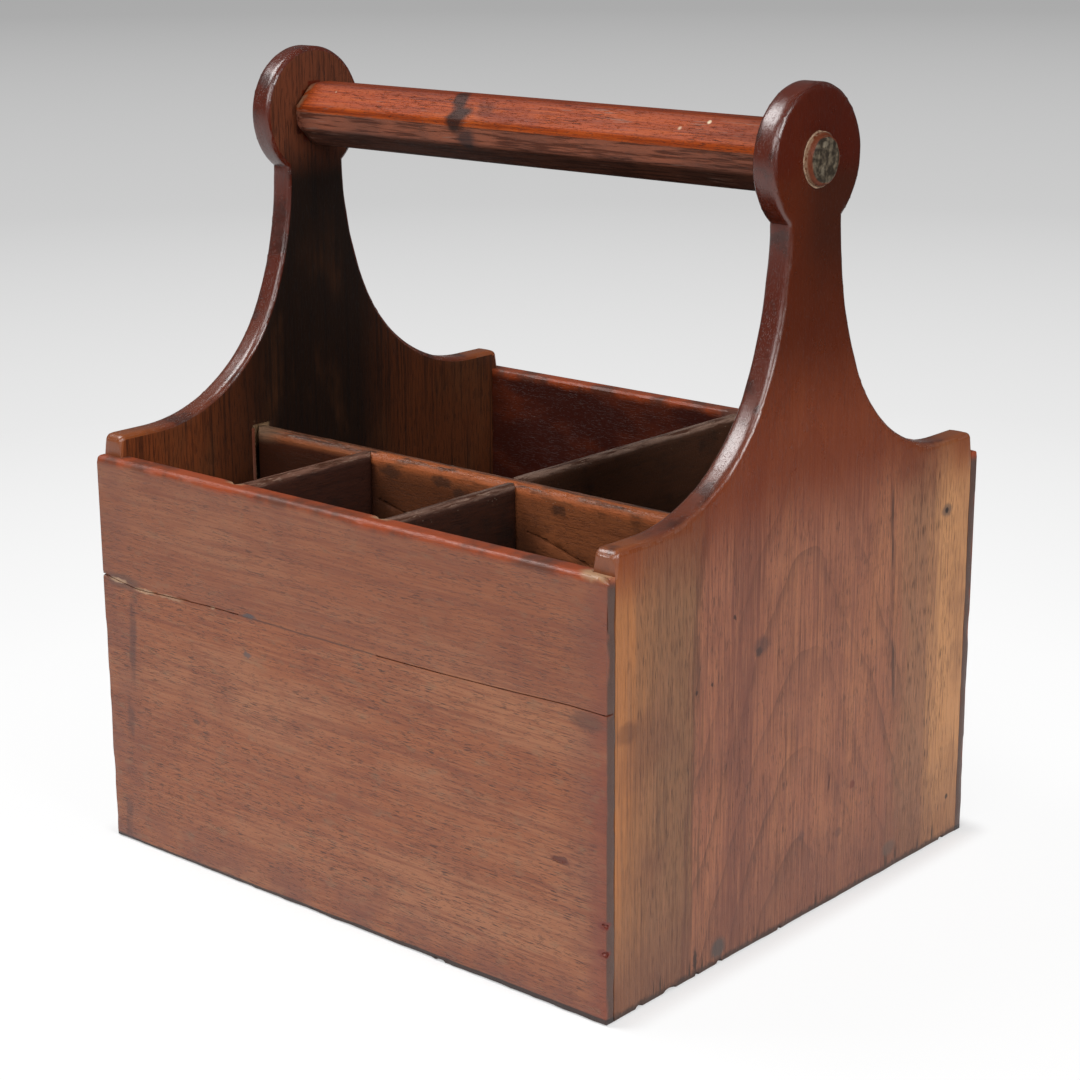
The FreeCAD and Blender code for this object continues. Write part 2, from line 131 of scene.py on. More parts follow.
class Finish:
    """One material and its node tree, on the piece's own coordinates in millimetres."""

    def __init__(self, name):
        self.material = bpy.data.materials.new(name)
        self.material.use_nodes = True
        self.tree = self.material.node_tree
        self.shader = self.tree.nodes["Principled BSDF"]
        self.colour = None
        metres = self.node("TexCoord").outputs["Object"]
        self.place = self.vector("MULTIPLY", metres, (1 / MM, 1 / MM, 1 / MM))
        self.x, self.y, self.z = self.split_up(self.place)

    def node(self, kind, *values, **settings):
        """A new node, with its first sockets fed and its settings set."""
        made = self.tree.nodes.new("ShaderNode" + kind)
        for name, value in settings.items():
            setattr(made, name, value)
        for socket, value in zip(made.inputs, values):
            self.feed(socket, value)
        return made

    def feed(self, socket, value):
        """Links an amount or another node's output to a socket, or sets a plain value."""
        if isinstance(value, Amount):
            value = value.socket
        if isinstance(value, bpy.types.NodeSocket):
            self.tree.links.new(value, socket)
        elif socket.type == "RGBA":
            socket.default_value = (*value, 1.0)
        else:
            socket.default_value = value

    def maths(self, operation, *values):
        return Amount(self, self.node("Math", *values, operation=operation).outputs[0])

    def vector(self, operation, *values):
        return self.node("VectorMath", *values, operation=operation).outputs[0]

    def split_up(self, place):
        """A place's three coordinates."""
        return [Amount(self, part) for part in self.node("SeparateXYZ", place).outputs]

    def length(self, place):
        return Amount(self, self.node("VectorMath", place, operation="LENGTH").outputs["Value"])

    def along(self, direction):
        """How far the place lies in a direction."""
        made = self.node("VectorMath", self.place, direction, operation="DOT_PRODUCT")
        return Amount(self, made.outputs["Value"])

    def either(self, first, *others):
        """The largest of several shares."""
        for other in others:
            first = self.maths("MAXIMUM", first, other)
        return first

    def level(self, low, high, share):
        """A number that goes from low to high with a share."""
        made = self.node("Mix", share, data_type="FLOAT")
        self.feed(made.inputs[2], low)
        self.feed(made.inputs[3], high)
        return Amount(self, made.outputs[0])

    def tint(self, colour, tone, share):
        """A colour with a share of a tone laid over it."""
        made = self.node("Mix", share, data_type="RGBA")
        self.feed(made.inputs[6], colour)
        self.feed(made.inputs[7], tone)
        return made.outputs[2]

    def stain(self, tone, share):
        """Lays a share of a tone over the finish's colour."""
        self.colour = self.tint(self.colour, tone, share)

    def shine(self, strength):
        self.shader.inputs["Specular IOR Level"].default_value = strength

    def lay(self, roughness, height, depth):
        """Puts colour, roughness and relief on the shader. depth is in millimetres."""
        self.feed(self.shader.inputs["Base Color"], self.colour)
        self.feed(self.shader.inputs["Roughness"], roughness)
        relief = self.node("Bump")
        relief.inputs["Distance"].default_value = depth * MM
        self.feed(relief.inputs["Height"], height)
        self.feed(self.shader.inputs["Normal"], relief.outputs[0])


deselect()
bpy.ops.mesh.primitive_circle_add(
    vertices=96, radius=TABLE_REACH, fill_type="TRIFAN", location=(0, 0, -TABLE_DROP))
table = bpy.context.object
table.name = "table"
bpy.ops.object.transform_apply(location=True, rotation=True, scale=True)

paper = Finish("table_paper")
metres_off = paper.length(paper.place) * MM
greys = paper.node("ValToRGB", metres_off / TABLE_REACH)
for order, (reach, grey) in enumerate(TABLE_GREYS):
    stops = greys.color_ramp.elements
    stop = stops[order] if order < 2 else stops.new(1.0)
    stop.position = reach / TABLE_REACH
    stop.color = (grey, grey, grey, 1.0)
fibres = paper.node("TexNoise", paper.place)
fibres.inputs["Scale"].default_value = 0.8
path = paper.node("LightPath")
by_camera = Amount(paper, path.outputs["Is Camera Ray"])
seen = paper.either(by_camera, path.outputs["Is Glossy Ray"], path.outputs["Is Transmission Ray"])
card = (paper.along(TO_THE_RIGHT) - paper.along(AWAY) * 0.3).between(CARD_START, CARD_FULL)
card_in_gloss = card * (1.0 - by_camera)
bounce = paper.level(0.74, 0.10, paper.either(card, metres_off.between(0.6, 1.6)))
paper.colour = paper.level(bounce, paper.level(PAPER_WHITE, CARD_GREY, card_in_gloss), seen)
paper.shine(0.0)
paper.lay(0.9, fibres.outputs[0], 0.01)
glow = paper.node("Emission", paper.tint(greys.outputs[0], (CARD_GREY,) * 3, card_in_gloss), 1.0)
past = paper.vector(
    "MAXIMUM", paper.vector("SUBTRACT", paper.vector("ABSOLUTE", paper.place), FOOTPRINT),
    (0.0, 0.0, 0.0))
open_paper = paper.level(0.90, 1.0, metres_off.between(0.35, 0.9))
glow_share = seen * paper.level(0.35, open_paper, paper.length(past).between(1.0, 16.0))
blend = paper.node("MixShader", glow_share, paper.shader.outputs[0], glow.outputs[0])
paper.feed(paper.tree.nodes["Material Output"].inputs["Surface"], blend.outputs[0])
table.data.materials.append(paper.material)


# ------------------------------------------------------------------ lamps and room
# A broad soft lamp hangs over the carrier's left end. Two stronger ones stand further off, by the
# camera and to the right. The room round them is dim and plain.

ROOM_GREY = 0.33
ROOM_LIGHT = 0.12
# name, place, the point it faces, width and height, watts
LAMPS = (
    ("overhead_lamp", (-0.75, -0.45, 1.45), (0.0, 0.0, 0.1), (0.75, 0.65), 15.0),
    ("camera_side_lamp", (0.9, -2.0, 1.5), (0.0, 0.0, 0.15), (1.8, 1.2), 34.0),
    ("right_lamp", (2.1, -0.2, 1.1), (0.0, 0.0, 0.12), (1.2, 1.0), 34.0),
)

world = bpy.data.worlds.new("room")
bpy.context.scene.world = world
world.use_nodes = True
room = world.node_tree
room_path = room.nodes.new("ShaderNodeLightPath")
room_level = room.nodes.new("ShaderNodeMapRange")
room_level.inputs["To Min"].default_value = ROOM_LIGHT
room_level.inputs["To Max"].default_value = ROOM_GREY
room.nodes["Background"].inputs["Color"].default_value = (1.0, 1.0, 1.0, 1.0)
room.links.new(room_path.outputs["Is Camera Ray"], room_level.inputs["Value"])
room.links.new(room_level.outputs[0], room.nodes["Background"].inputs["Strength"])

for name, place, aim, size, watts in LAMPS:
    deselect()
    bpy.ops.object.light_add(type="AREA", location=place)
    lamp = bpy.context.object
    lamp.name = name
    lamp.data.shape = "RECTANGLE"
    lamp.data.size, lamp.data.size_y = size
    lamp.data.energy = watts
    facing = Vector(aim) - Vector(place)
    lamp.rotation_euler = facing.to_track_quat("-Z", "Y").to_euler()


# ------------------------------------------------------------------ front board
# One brown hardwood board, its grain level, rabbeted at both ends over the end panels and
# grooved inside for two dividers. It has shrunk and split along the grain from both ends.

GROOVE_HALF_WIDTH = 4.7
GROOVE_DEPTH = 3.4
BEYOND = 5
OUTER_ROUND = 2.0
INNER_ROUND = 1.2
END_ROUND = 0.9
BOARD_GRID = 3.2
BOARD_WEAR = 0.55
BOARD_WEAR_PATCH = 9.0
SMOOTH_BELOW = math.radians(38)
SHARP_ABOVE = 0.35
WELD = 0.01
CUT_WELD = 0.004
POLISH_RELIEF = 0.13
FRONT_TONES = ((0.355, 0.138, 0.064), (0.305, 0.094, 0.036), (0.205, 0.056, 0.025),
               (0.060, 0.021, 0.013))
SPLIT_WIDTH = 0.5
OVERSHOOT = 0.02
LEFT_SPLIT = ((-152.0, 128.9), (-146.0, 128.7), (-124.7, 126.0), (-110.0, 126.9),
              (-93.8, 127.5), (-75.2, 128.1), (-58.0, 128.2))
LEFT_SPLIT_DEPTH = 2.0
RIGHT_SPLIT = ((26.0, 127.8), (62.0, 128.3), (94.6, 129.2), (131.0, 130.6), (152.0, 130.4))
RIGHT_SPLIT_DEPTH = 4.2
SPLIT_HEIGHTS = (118.0, 134.0)
SPLIT_HALF_LENGTH = 148
# middle along X, off the front face and up; full size; tilt in degrees
FRONT_CHIPS = (
    (-123.5, 0.0, 126.4, (8.0, 1.3, 1.6), 8), (-114.0, 0.0, 127.3, (6.0, 1.0, 1.2), -4),
    (-94.0, 0.0, 127.9, (9.0, 1.1, 1.3), 3), (-147.2, 0.0, 129.0, (6.0, 1.4, 2.2), 0),
    (126.1, 0.0, 64.7, (8.0, 0.9, 2.6), -6), (149.6, 0.4, 42.9, (4.4, 2.0, 2.0), 20),
    (149.6, 0.4, 30.9, (4.6, 2.2, 2.4), -15), (147.5, 0.6, 184.4, (8.0, 3.0, 3.0), 25),
    (60.0, 1.0, 0.2, (9.0, 2.4, 1.6), 0),
)
# middle, reach, tone, strength
FRONT_MARKS = (
    ((-136, -132, 128), (16, 4, 4.5), (0.11, 0.052, 0.036), 0.7),
    ((-139, -132, 128.0), (8, 4, 1.5), (0.50, 0.32, 0.20), 0.7),
    ((-121, -132, 126.2), (9, 4, 1.4), (0.50, 0.32, 0.20), 0.75),
    ((-103, -132, 126.8), (11, 4, 1.3), (0.42, 0.25, 0.15), 0.6),
    ((-51.1, -132, 129), (5.5, 4, 1.4), (0.07, 0.065, 0.070), 0.85),
    ((-53.4, -132, 110.7), (3.6, 4, 1.8), (0.09, 0.070, 0.070), 0.8),
    ((-88.9, -132, 71.1), (3.0, 4, 1.8), (0.10, 0.040, 0.024), 0.7),
    ((-74.5, -132, 128.1), (1.6, 4, 1.0), (0.40, 0.25, 0.15), 0.8),
    ((126.1, -132, 64.7), (6.5, 4, 2.2), (0.10, 0.018, 0.012), 0.8),
    ((149, -132, 42.9), (4.5, 4, 2.6), (0.15, 0.022, 0.014), 0.8),
    ((149, -132, 30.9), (4.5, 4, 2.6), (0.15, 0.022, 0.014), 0.8),
    ((140, -132, 126), (11, 4, 5), (0.11, 0.045, 0.030), 0.6),
    ((142, -128, 185), (10, 6, 5), (0.42, 0.27, 0.15), 0.75),
)


def only(piece):
    """Leaves one piece selected and active."""
    deselect()
    piece.select_set(True)
    bpy.context.view_layer.objects.active = piece


def edit(piece):
    """Opens one piece for editing."""
    only(piece)
    bpy.ops.object.mode_set(mode="EDIT")


def close():
    """Ends the editing of a piece."""
    bpy.ops.object.mode_set(mode="OBJECT")


def select_all():
    bpy.ops.mesh.select_all(action="SELECT")


def weld(reach):
    """Merges a piece's points that lie within a reach in millimetres."""
    select_all()
    bpy.ops.mesh.remove_doubles(threshold=reach * MM)


def settle(name):
    """Names the new primitive and moves its place into its mesh."""
    piece = bpy.context.object
    piece.name = name
    bpy.ops.object.transform_apply(location=True, rotation=True, scale=True)
    return piece


def block(name, low, high):
    """A block between two corners, given in millimetres."""
    deselect()
    low, high = Vector(low), Vector(high)
    bpy.ops.mesh.primitive_cube_add(size=1.0, location=(low + high) * MM / 2)
    bpy.context.object.scale = (high - low) * MM
    return settle(name)


def combine(piece, other, operation):
    """Cuts another piece out of a piece, or joins it on, and throws the other away."""
    only(piece)
    saw = piece.modifiers.new("saw", "BOOLEAN")
    saw.operation = operation
    saw.object = other
    saw.solver = "EXACT"
    bpy.ops.object.modifier_apply(modifier=saw.name)
    bpy.data.objects.remove(other)


def cut(piece, cutter):
    """Takes the cutter's space out of the piece."""
    combine(piece, cutter, "DIFFERENCE")
    edit(piece)
    weld(CUT_WELD)
    close()


def groove(piece, middle, half_size):
    """A V groove, cut by a four-sided bar. half_size is half its width, depth and height."""
    deselect()
    bpy.ops.mesh.primitive_cylinder_add(
        vertices=4, radius=1.0, depth=2.0, location=Vector(middle) * MM)
    bpy.context.object.scale = Vector(half_size) * MM
    cut(piece, settle("groove_cutter"))


def chip(piece, middle, size, tilt):
    """A small scoop out of a surface. size is its full length, depth and height."""
    deselect()
    bpy.ops.mesh.primitive_ico_sphere_add(
        subdivisions=2, radius=0.5, location=Vector(middle) * MM,
        rotation=(0, math.radians(tilt), 0))
    bpy.context.object.scale = Vector(size) * MM
    cut(piece, settle("chip_cutter"))


def start_line(name, place):
    """A new mesh of one selected point, in edit mode, ready to be drawn on."""
    deselect()
    bpy.ops.mesh.primitive_plane_add(size=MM, location=Vector(place) * MM)
    line = settle(name)
    edit(line)
    bpy.ops.mesh.select_mode(type="VERT")
    select_all()
    bpy.ops.mesh.merge(type="CENTER")
    return line


def draw_by(step):
    """Extrudes what is selected by a step in millimetres."""
    bpy.ops.mesh.extrude_region_move(TRANSFORM_OT_translate={"value": Vector(step) * MM})


def split(piece, points, face_y, width, depth):
    """A crack in a front face: a V that follows (x, z) points, width at its mouth."""
    side = -1 if face_y < 0 else 1
    cutter = start_line("split_cutter", (points[0][0], face_y, points[0][1] - width / 2))
    for before, after in zip(points, points[1:]):
        draw_by((after[0] - before[0], 0, after[1] - before[1]))
    select_all()
    draw_by((0, 0, width))
    draw_by((0, -side * depth, -width / 2))
    draw_by((0, side * depth, -width / 2))
    weld(WELD)
    bpy.ops.mesh.fill_holes(sides=0)
    bpy.ops.mesh.normals_make_consistent(inside=False)
    bpy.ops.transform.translate(value=(0, side * OVERSHOOT * MM, 0))
    close()
    cut(piece, cutter)


def round_edges(piece, radius, wanted, steps=3):
    """Rounds the sharp edges whose two ends, in millimetres, pass a test."""
    edit(piece)
    bpy.ops.mesh.select_mode(type="EDGE")
    bpy.ops.mesh.select_all(action="DESELECT")
    mesh = bmesh.from_edit_mesh(piece.data)
    for edge in mesh.edges:
        sharp = edge.is_manifold and edge.calc_face_angle() > SHARP_ABOVE
        if sharp and wanted(edge.verts[0].co / MM, edge.verts[1].co / MM):
            edge.select_set(True)
    bmesh.update_edit_mesh(piece.data)
    bpy.ops.mesh.bevel(
        offset=radius * MM, offset_type="OFFSET", segments=steps, affect="EDGES",
        clamp_overlap=True)
    close()


def divide(piece, pitch):
    """Cuts the faces into a grid, so that wear has points to move."""
    corners = [Vector(corner) for corner in piece.bound_box]
    edit(piece)
    for axis in range(3):
        low = min(corner[axis] for corner in corners)
        high = max(corner[axis] for corner in corners)
        count = max(1, round((high - low) / (pitch * MM)))
        for step in range(1, count):
            place = Vector()
            place[axis] = low + (high - low) * step / count
            normal = Vector()
            normal[axis] = 1.0
            select_all()
            bpy.ops.mesh.bisect(plane_co=place, plane_no=normal)
    close()


def wear(piece, depth, patch, spare=(0.0, 0.0)):
    """Rubs a piece's edges unevenly, always inwards, and keeps it inside its first box.

    What lies between the two spare heights is left alone, except at the piece's two ends.
    """
    only(piece)
    corners = [Vector(corner) for corner in piece.bound_box]
    edges = piece.vertex_groups.new(name="edges")
    mesh = bmesh.new()
    mesh.from_mesh(piece.data)
    mesh.normal_update()
    for point in mesh.verts:
        turn = min((face.normal.dot(point.normal) for face in point.link_faces), default=1.0)
        inward = abs(point.co.x / MM) < SPLIT_HALF_LENGTH
        spared = inward and spare[0] < point.co.z / MM < spare[1]
        if turn < 0.99 and not spared:
            edges.add([point.index], 1.0, "REPLACE")
    mesh.free()
    clouds = bpy.data.textures.new("rub", "CLOUDS")
    clouds.noise_scale = patch * MM
    clouds.noise_depth = 3
    clouds.contrast = 1.8
    rub = piece.modifiers.new("rub", "DISPLACE")
    rub.texture = clouds
    rub.texture_coords = "LOCAL"
    rub.vertex_group = "edges"
    rub.mid_level = 0.0
    rub.strength = -depth * MM
    bpy.ops.object.modifier_apply(modifier=rub.name)
    piece.vertex_groups.clear()
    for point in piece.data.vertices:
        for axis in range(3):
            low = min(corner[axis] for corner in corners)
            high = max(corner[axis] for corner in corners)
            point.co[axis] = min(max(point.co[axis], low), high)


def hand_over(piece, finish, slot, *nodes):
    """Smooths a piece, gives it its finish and lets it stand for its CAD nodes."""
    only(piece)
    bpy.ops.object.shade_smooth_by_angle(angle=SMOOTH_BELOW)
    piece.data.materials.clear()
    piece.data.materials.append(finish.material)
    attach(piece, "root")
    if nodes:
        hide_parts(*nodes)


def node_box(node):
    """A node's lowest and highest corners, in millimetres."""
    low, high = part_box(node)
    return low / MM, high / MM


def middle_of(node):
    """The middle of a node's box, in millimetres."""
    low, high = node_box(node)
    return (low + high) / 2


def side_board(name, node, crossings):
    """A board rabbeted at its ends and grooved inside. Its outer face is at the greater |y|."""
    low, high = node_box(node)
    panel_low, panel_high = node_box("right_end_panel")
    side = -1 if low.y < 0 else 1
    outer, inner = (low.y, high.y) if side < 0 else (high.y, low.y)
    board = block(name, low, high)
    for end in (-1, 1):
        wide = sorted((end * panel_low.x, end * (high.x + BEYOND)))
        deep = sorted((side * panel_high.y, 0))
        cut(board, block("rabbet_cutter", (wide[0], deep[0], -BEYOND),
                         (wide[1], deep[1], high.z + BEYOND)))
    round_edges(board, OUTER_ROUND, lambda a, b: min(a.z, b.z) > high.z - 0.1
                and abs(a.y - outer) + abs(b.y - outer) < 0.1)
    round_edges(board, INNER_ROUND, lambda a, b: min(a.z, b.z) > high.z - 0.1
                and abs(a.y - inner) + abs(b.y - inner) < 0.1 and abs(a.x - b.x) > 9)
    round_edges(board, END_ROUND, lambda a, b: min(abs(a.x), abs(b.x)) > high.x - 0.1
                and abs(a.y - outer) + abs(b.y - outer) < 0.1)
    for crossing in crossings:
        groove(board, (middle_of(crossing).x, inner, high.z / 2),
               (GROOVE_HALF_WIDTH, GROOVE_DEPTH, high.z))
    return board


front_low, front_high = node_box("front_board")
front_board = side_board(
    "front_board_wood", "front_board", ("front_left_divider", "front_right_divider"))
for x, off, z, size, tilt in FRONT_CHIPS:
    chip(front_board, (x, front_low.y + off, z), size, tilt)
split(front_board, LEFT_SPLIT, front_low.y, SPLIT_WIDTH, LEFT_SPLIT_DEPTH)
split(front_board, RIGHT_SPLIT, front_low.y, SPLIT_WIDTH, RIGHT_SPLIT_DEPTH)
divide(front_board, BOARD_GRID)
wear(front_board, BOARD_WEAR, BOARD_WEAR_PATCH, SPLIT_HEIGHTS)


def even(number):
    """The same number along X, Y and Z."""
    return (number, number, number)


def along_grain(axis, across, lengthways):
    """Patches per millimetre: lengthways on the grain's axis and across on the others."""
    stretch = [across, across, across]
    stretch[axis] = lengthways
    return stretch


class Patina(Finish):
    """The finish of an old surface, with its grain, noise, marks and dust."""

    def moved(self, stretch, shift):
        """The place stretched and shifted, for a pattern to be read at."""
        return self.vector("ADD", self.vector("MULTIPLY", self.place, stretch), shift)

    def cloud(self, stretch, seed, detail=2.0):
        """Noise about one half, with stretch as its patches per millimetre along X, Y and Z."""
        made = self.node("TexNoise", self.moved(stretch, (seed, 1.7 * seed, 2.3 * seed)))
        made.inputs["Scale"].default_value = 1.0
        made.inputs["Detail"].default_value = detail
        made.inputs["Roughness"].default_value = 0.55
        return Amount(self, made.outputs[0])

    def grain(self, axis, tones, seed, rings=None):
        """Lays drifting tones, growth lines, fibres and short dark pores. Returns the relief."""
        pale, mid, deep, pore = tones
        drift = self.cloud(along_grain(axis, 0.03, 0.006), seed, 3.0)
        lines = self.cloud(along_grain(axis, 0.32, 0.009), seed + 3, 4.0)
        fine = self.cloud(along_grain(axis, 1.5, 0.045), seed + 5)
        fibre = self.cloud(along_grain(axis, 0.8, 0.04), seed + 7, 3.0)
        blotch = self.cloud(even(0.035), seed + 8, 4.0)
        dashes = self.cloud(along_grain(axis, 2.2, 0.15), seed + 11, 1.0)
        short_dashes = self.cloud(along_grain(axis, 2.6, 0.38), seed + 17, 1.0)
        crowd = self.cloud(along_grain(axis, 0.11, 0.02), seed + 13)
        self.colour = self.tint(mid, pale, drift.between(0.44, 0.62))
        self.stain(deep, blotch.between(0.48, 0.70) * 0.55)
        self.stain(deep, lines.between(0.48, 0.66) * 0.65)
        self.stain(deep, fibre.between(0.50, 0.34) * 0.50)
        self.stain(pale, fibre.between(0.52, 0.66) * 0.40)
        self.stain(pale, fine.between(0.52, 0.70) * 0.45)
        self.stain(deep, fine.between(0.47, 0.33) * 0.60)
        if rings:
            stray = self.cloud(even(0.02), seed + 19) - 0.5
            ring = self.maths("POWER", self.maths("FRACT", rings + stray * 0.9), 7.0)
            faint = self.cloud((0.012, 0.012, 0.008), seed + 23).between(0.40, 0.60)
            self.stain(pore, ring * self.level(0.15, 0.5, faint))
        long_pores = dashes.between(0.60, 0.67) * crowd.between(0.38, 0.56) * 0.85
        pores = self.either(long_pores, short_dashes.between(0.62, 0.68) * 0.5)
        self.stain(pore, pores)
        return fine * 0.4 + fibre * 0.5 - pores

    def ragged(self, seed, amount, fineness=0.35):
        """The place pushed about by noise, for marks with ragged edges."""
        push = self.node("TexNoise", self.moved(even(fineness), even(seed)))
        push.inputs["Scale"].default_value = 1.0
        centred = self.vector("SUBTRACT", push.outputs[1], even(0.5))
        return self.vector("ADD", self.place, self.vector("MULTIPLY", centred, even(amount)))

    def spot(self, place, middle, reach):
        """A soft spot, 1 at its middle. reach is in millimetres along X, Y and Z."""
        offset = self.vector("DIVIDE", self.vector("SUBTRACT", place, middle), reach)
        return self.length(offset).between(1.0, 0.45)

    def marks(self, place, rows):
        """Stains soft spots, each with its middle, reach, tone and strength."""
        for middle, reach, tone, strength in rows:
            self.stain(tone, self.spot(place, middle, reach) * strength)

    def specks(self, crowd, size, share, seed):
        """Small round specks of dust or stopping, crowd of them to a millimetre."""
        cells = self.node("TexVoronoi", self.moved(even(crowd), even(seed)))
        cells.inputs["Scale"].default_value = 1.0
        chosen = self.node("SeparateColor", cells.outputs["Color"]).outputs[0]
        dot = Amount(self, cells.outputs["Distance"]).between(size * crowd, 0.5 * size * crowd)
        return dot * self.maths("GREATER_THAN", chosen, 1.0 - share)


def board_polish(name, outer_y, inner_y, seed):
    """A side board's polish: red-brown outside, near black inside, rubbed orange along the top."""
    polish = Patina(name)
    x, z = polish.x, polish.z
    y = polish.y * (-1 if outer_y < 0 else 1)
    outer, inner = abs(outer_y), abs(inner_y)
    top, end = front_high.z, front_high.x
    height = polish.grain(0, FRONT_TONES, seed)
    patch = polish.cloud(even(0.05), seed + 31, 3.0)
    edge = polish.either(
        x.between(-112, -143) * 0.65, z.between(30, 2) * 0.75, x.between(122, 149) * 0.9,
        z.between(165, 182) * 0.35)
    polish.stain((0.150, 0.050, 0.036), edge * patch.between(0.30, 0.62) * 0.75)
    polish.stain((0.23, 0.052, 0.026), x.between(137, 148) * 0.5)
    mottle = polish.cloud((0.10, 0.2, 0.22), seed + 35, 5.0).between(0.54, 0.70)
    polish.stain((0.235, 0.135, 0.075), mottle * 0.35)
    polish.stain((0.20, 0.068, 0.038), z.between(127.5, 130.5) * 0.30)
    end_tone = polish.tint((0.045, 0.025, 0.019), (0.075, 0.038, 0.026),
                           polish.cloud((1.5, 1.5, 0.25), seed + 37))
    end_grain = abs(x).between(end - 0.5, end - 0.15) * y.between(outer + 1, outer - 0.8)
    polish.stain(end_tone, end_grain * 0.9)
    dark = polish.tint((0.036, 0.004, 0.001), (0.080, 0.012, 0.003),
                       polish.cloud((0.02, 0.03, 0.05), seed + 41, 4.0).between(0.45, 0.7))
    dark = polish.tint(dark, (0.20, 0.15, 0.11), polish.specks(0.35, 0.25, 0.16, seed) * 0.7)
    inside = y.between(inner + 1.6, inner + 0.2)
    polish.stain(dark, inside * z.between(top, top - 1.5))
    rub_tone = polish.tint((0.305, 0.047, 0.007), (0.095, 0.026, 0.013),
                           polish.cloud(even(0.05), seed + 43, 5.0).between(0.42, 0.62))
    polish.stain(rub_tone, (z + patch * 5).between(top - 2.5, top + 1.5) * 0.9)
    # Painted contact shadow: a near-black band along the board's foot, taller towards the right
    # end.
    contact_shadow_band = z - polish.level(0.2, 1.3, x.between(-150, 140)) - patch * 0.8
    polish.stain((0.016, 0.009, 0.008), contact_shadow_band.between(1.3, 0.5) * 0.92)
    gloss = polish.level(0.38, 0.52, polish.cloud(even(0.06), seed + 47, 3.0))
    return polish, gloss, height


polish, gloss, height = board_polish("front_board_polish", front_low.y, front_high.y, 4.0)
x, y, z = polish.x, polish.y, polish.z
wavering_z = polish.split_up(polish.ragged(5.0, 1.0, 0.08))[2]
polish.stain((0.040, 0.018, 0.014), wavering_z.near(128.0, 0.55) * x.between(-64, -54)
             * x.between(32, 22) * y.between(-131, -131.8) * 0.6)
polish.marks(polish.ragged(3.0, 2.2), FRONT_MARKS)
run_down = (x + (120.0 - z) * 0.104).near(-129.0, 3.4) * z.between(128, 122)
run_down = run_down * polish.cloud((0.08, 0.08, 0.05), 71.0, 4.0).between(0.40, 0.58) * 0.6
polish.stain((0.075, 0.030, 0.026), run_down)
for node in ("front_left_divider", "front_right_divider"):
    raw = x.near(middle_of(node).x, 7.0) * y.between(front_high.y - 4.4, front_high.y - 3.6)
    polish.stain((0.34, 0.20, 0.11), raw * z.between(front_high.z - 9, front_high.z - 2) * 0.85)
polish.lay(gloss, height, POLISH_RELIEF)
hand_over(front_board, polish, "side_wood", "front_board")


# ------------------------------------------------------------------ back board
# The same board behind, with one groove inside.

# middle, full size, tilt in degrees
BACK_CHIPS = (((-88.0, 132.0, 1.0), (12.0, 2.0, 4.0), 4),
              ((146.0, 131.6, 96.0), (5.0, 2.0, 7.0), 0))

back_board = side_board("back_board_wood", "back_board", ("rear_divider",))
for middle, size, tilt in BACK_CHIPS:
    chip(back_board, middle, size, tilt)
divide(back_board, BOARD_GRID)
wear(back_board, BOARD_WEAR, BOARD_WEAR_PATCH)
back_low, back_high = node_box("back_board")
polish, gloss, height = board_polish("back_board_polish", back_high.y, back_low.y, 24.0)
polish.lay(gloss, height, POLISH_RELIEF)
hand_over(back_board, polish, "side_wood", "back_board")


# ------------------------------------------------------------------ end panels
# Shaped boards with upright grain: ears at the corners, a concave sweep up each side, a neck and
# a round head that holds the rail. They stand inside the front and back boards' rabbets.

EAR_LAND = 21.0
EAR_RADIUS = 3.5
NECK_HALF_WIDTH = 18.3
HEAD_RADIUS = 30.5
HEAD_Z = 329.0
SWEEP_TURN = 66.0
TENON_RADIUS = 10.75
TENON_PLAY = 0.15
HOLE_LENGTH = 60
EAR_STEPS = 5
LOW_SWEEP_STEPS = 26
HIGH_SWEEP_STEPS = 18
HEAD_STEPS = 72
PANEL_ROUND = 2.0
FOOT_ROUND = 0.5
SEAT_HALF_WIDTH = 5.2
SEAT_DEPTH = 3.2
SEAT_OVER_DIVIDER = 1.5
SEAT_HALF_LENGTH = 100
PANEL_GRID = 4.0
PANEL_WEAR = 0.3
PANEL_WEAR_PATCH = 14.0
EDGE_FOOT = 184
FACE_SHINE = 0.3
EDGE_SHINE = 0.85
EDGE_RELIEF = 0.09
PANEL_TONES = ((0.345, 0.135, 0.068), (0.275, 0.102, 0.058), (0.175, 0.064, 0.042),
               (0.052, 0.024, 0.018))
# place along Y and width
FOOT_NOTCHES = ((-111, 5), (-91, 9), (-73, 3), (-57.5, 4), (-14.8, 3), (114.7, 4))
NOTCH_X = 149.8
NOTCH_DEPTH = 4.0
NOTCH_HEIGHT = 3.2
NOTCH_TILT = 12
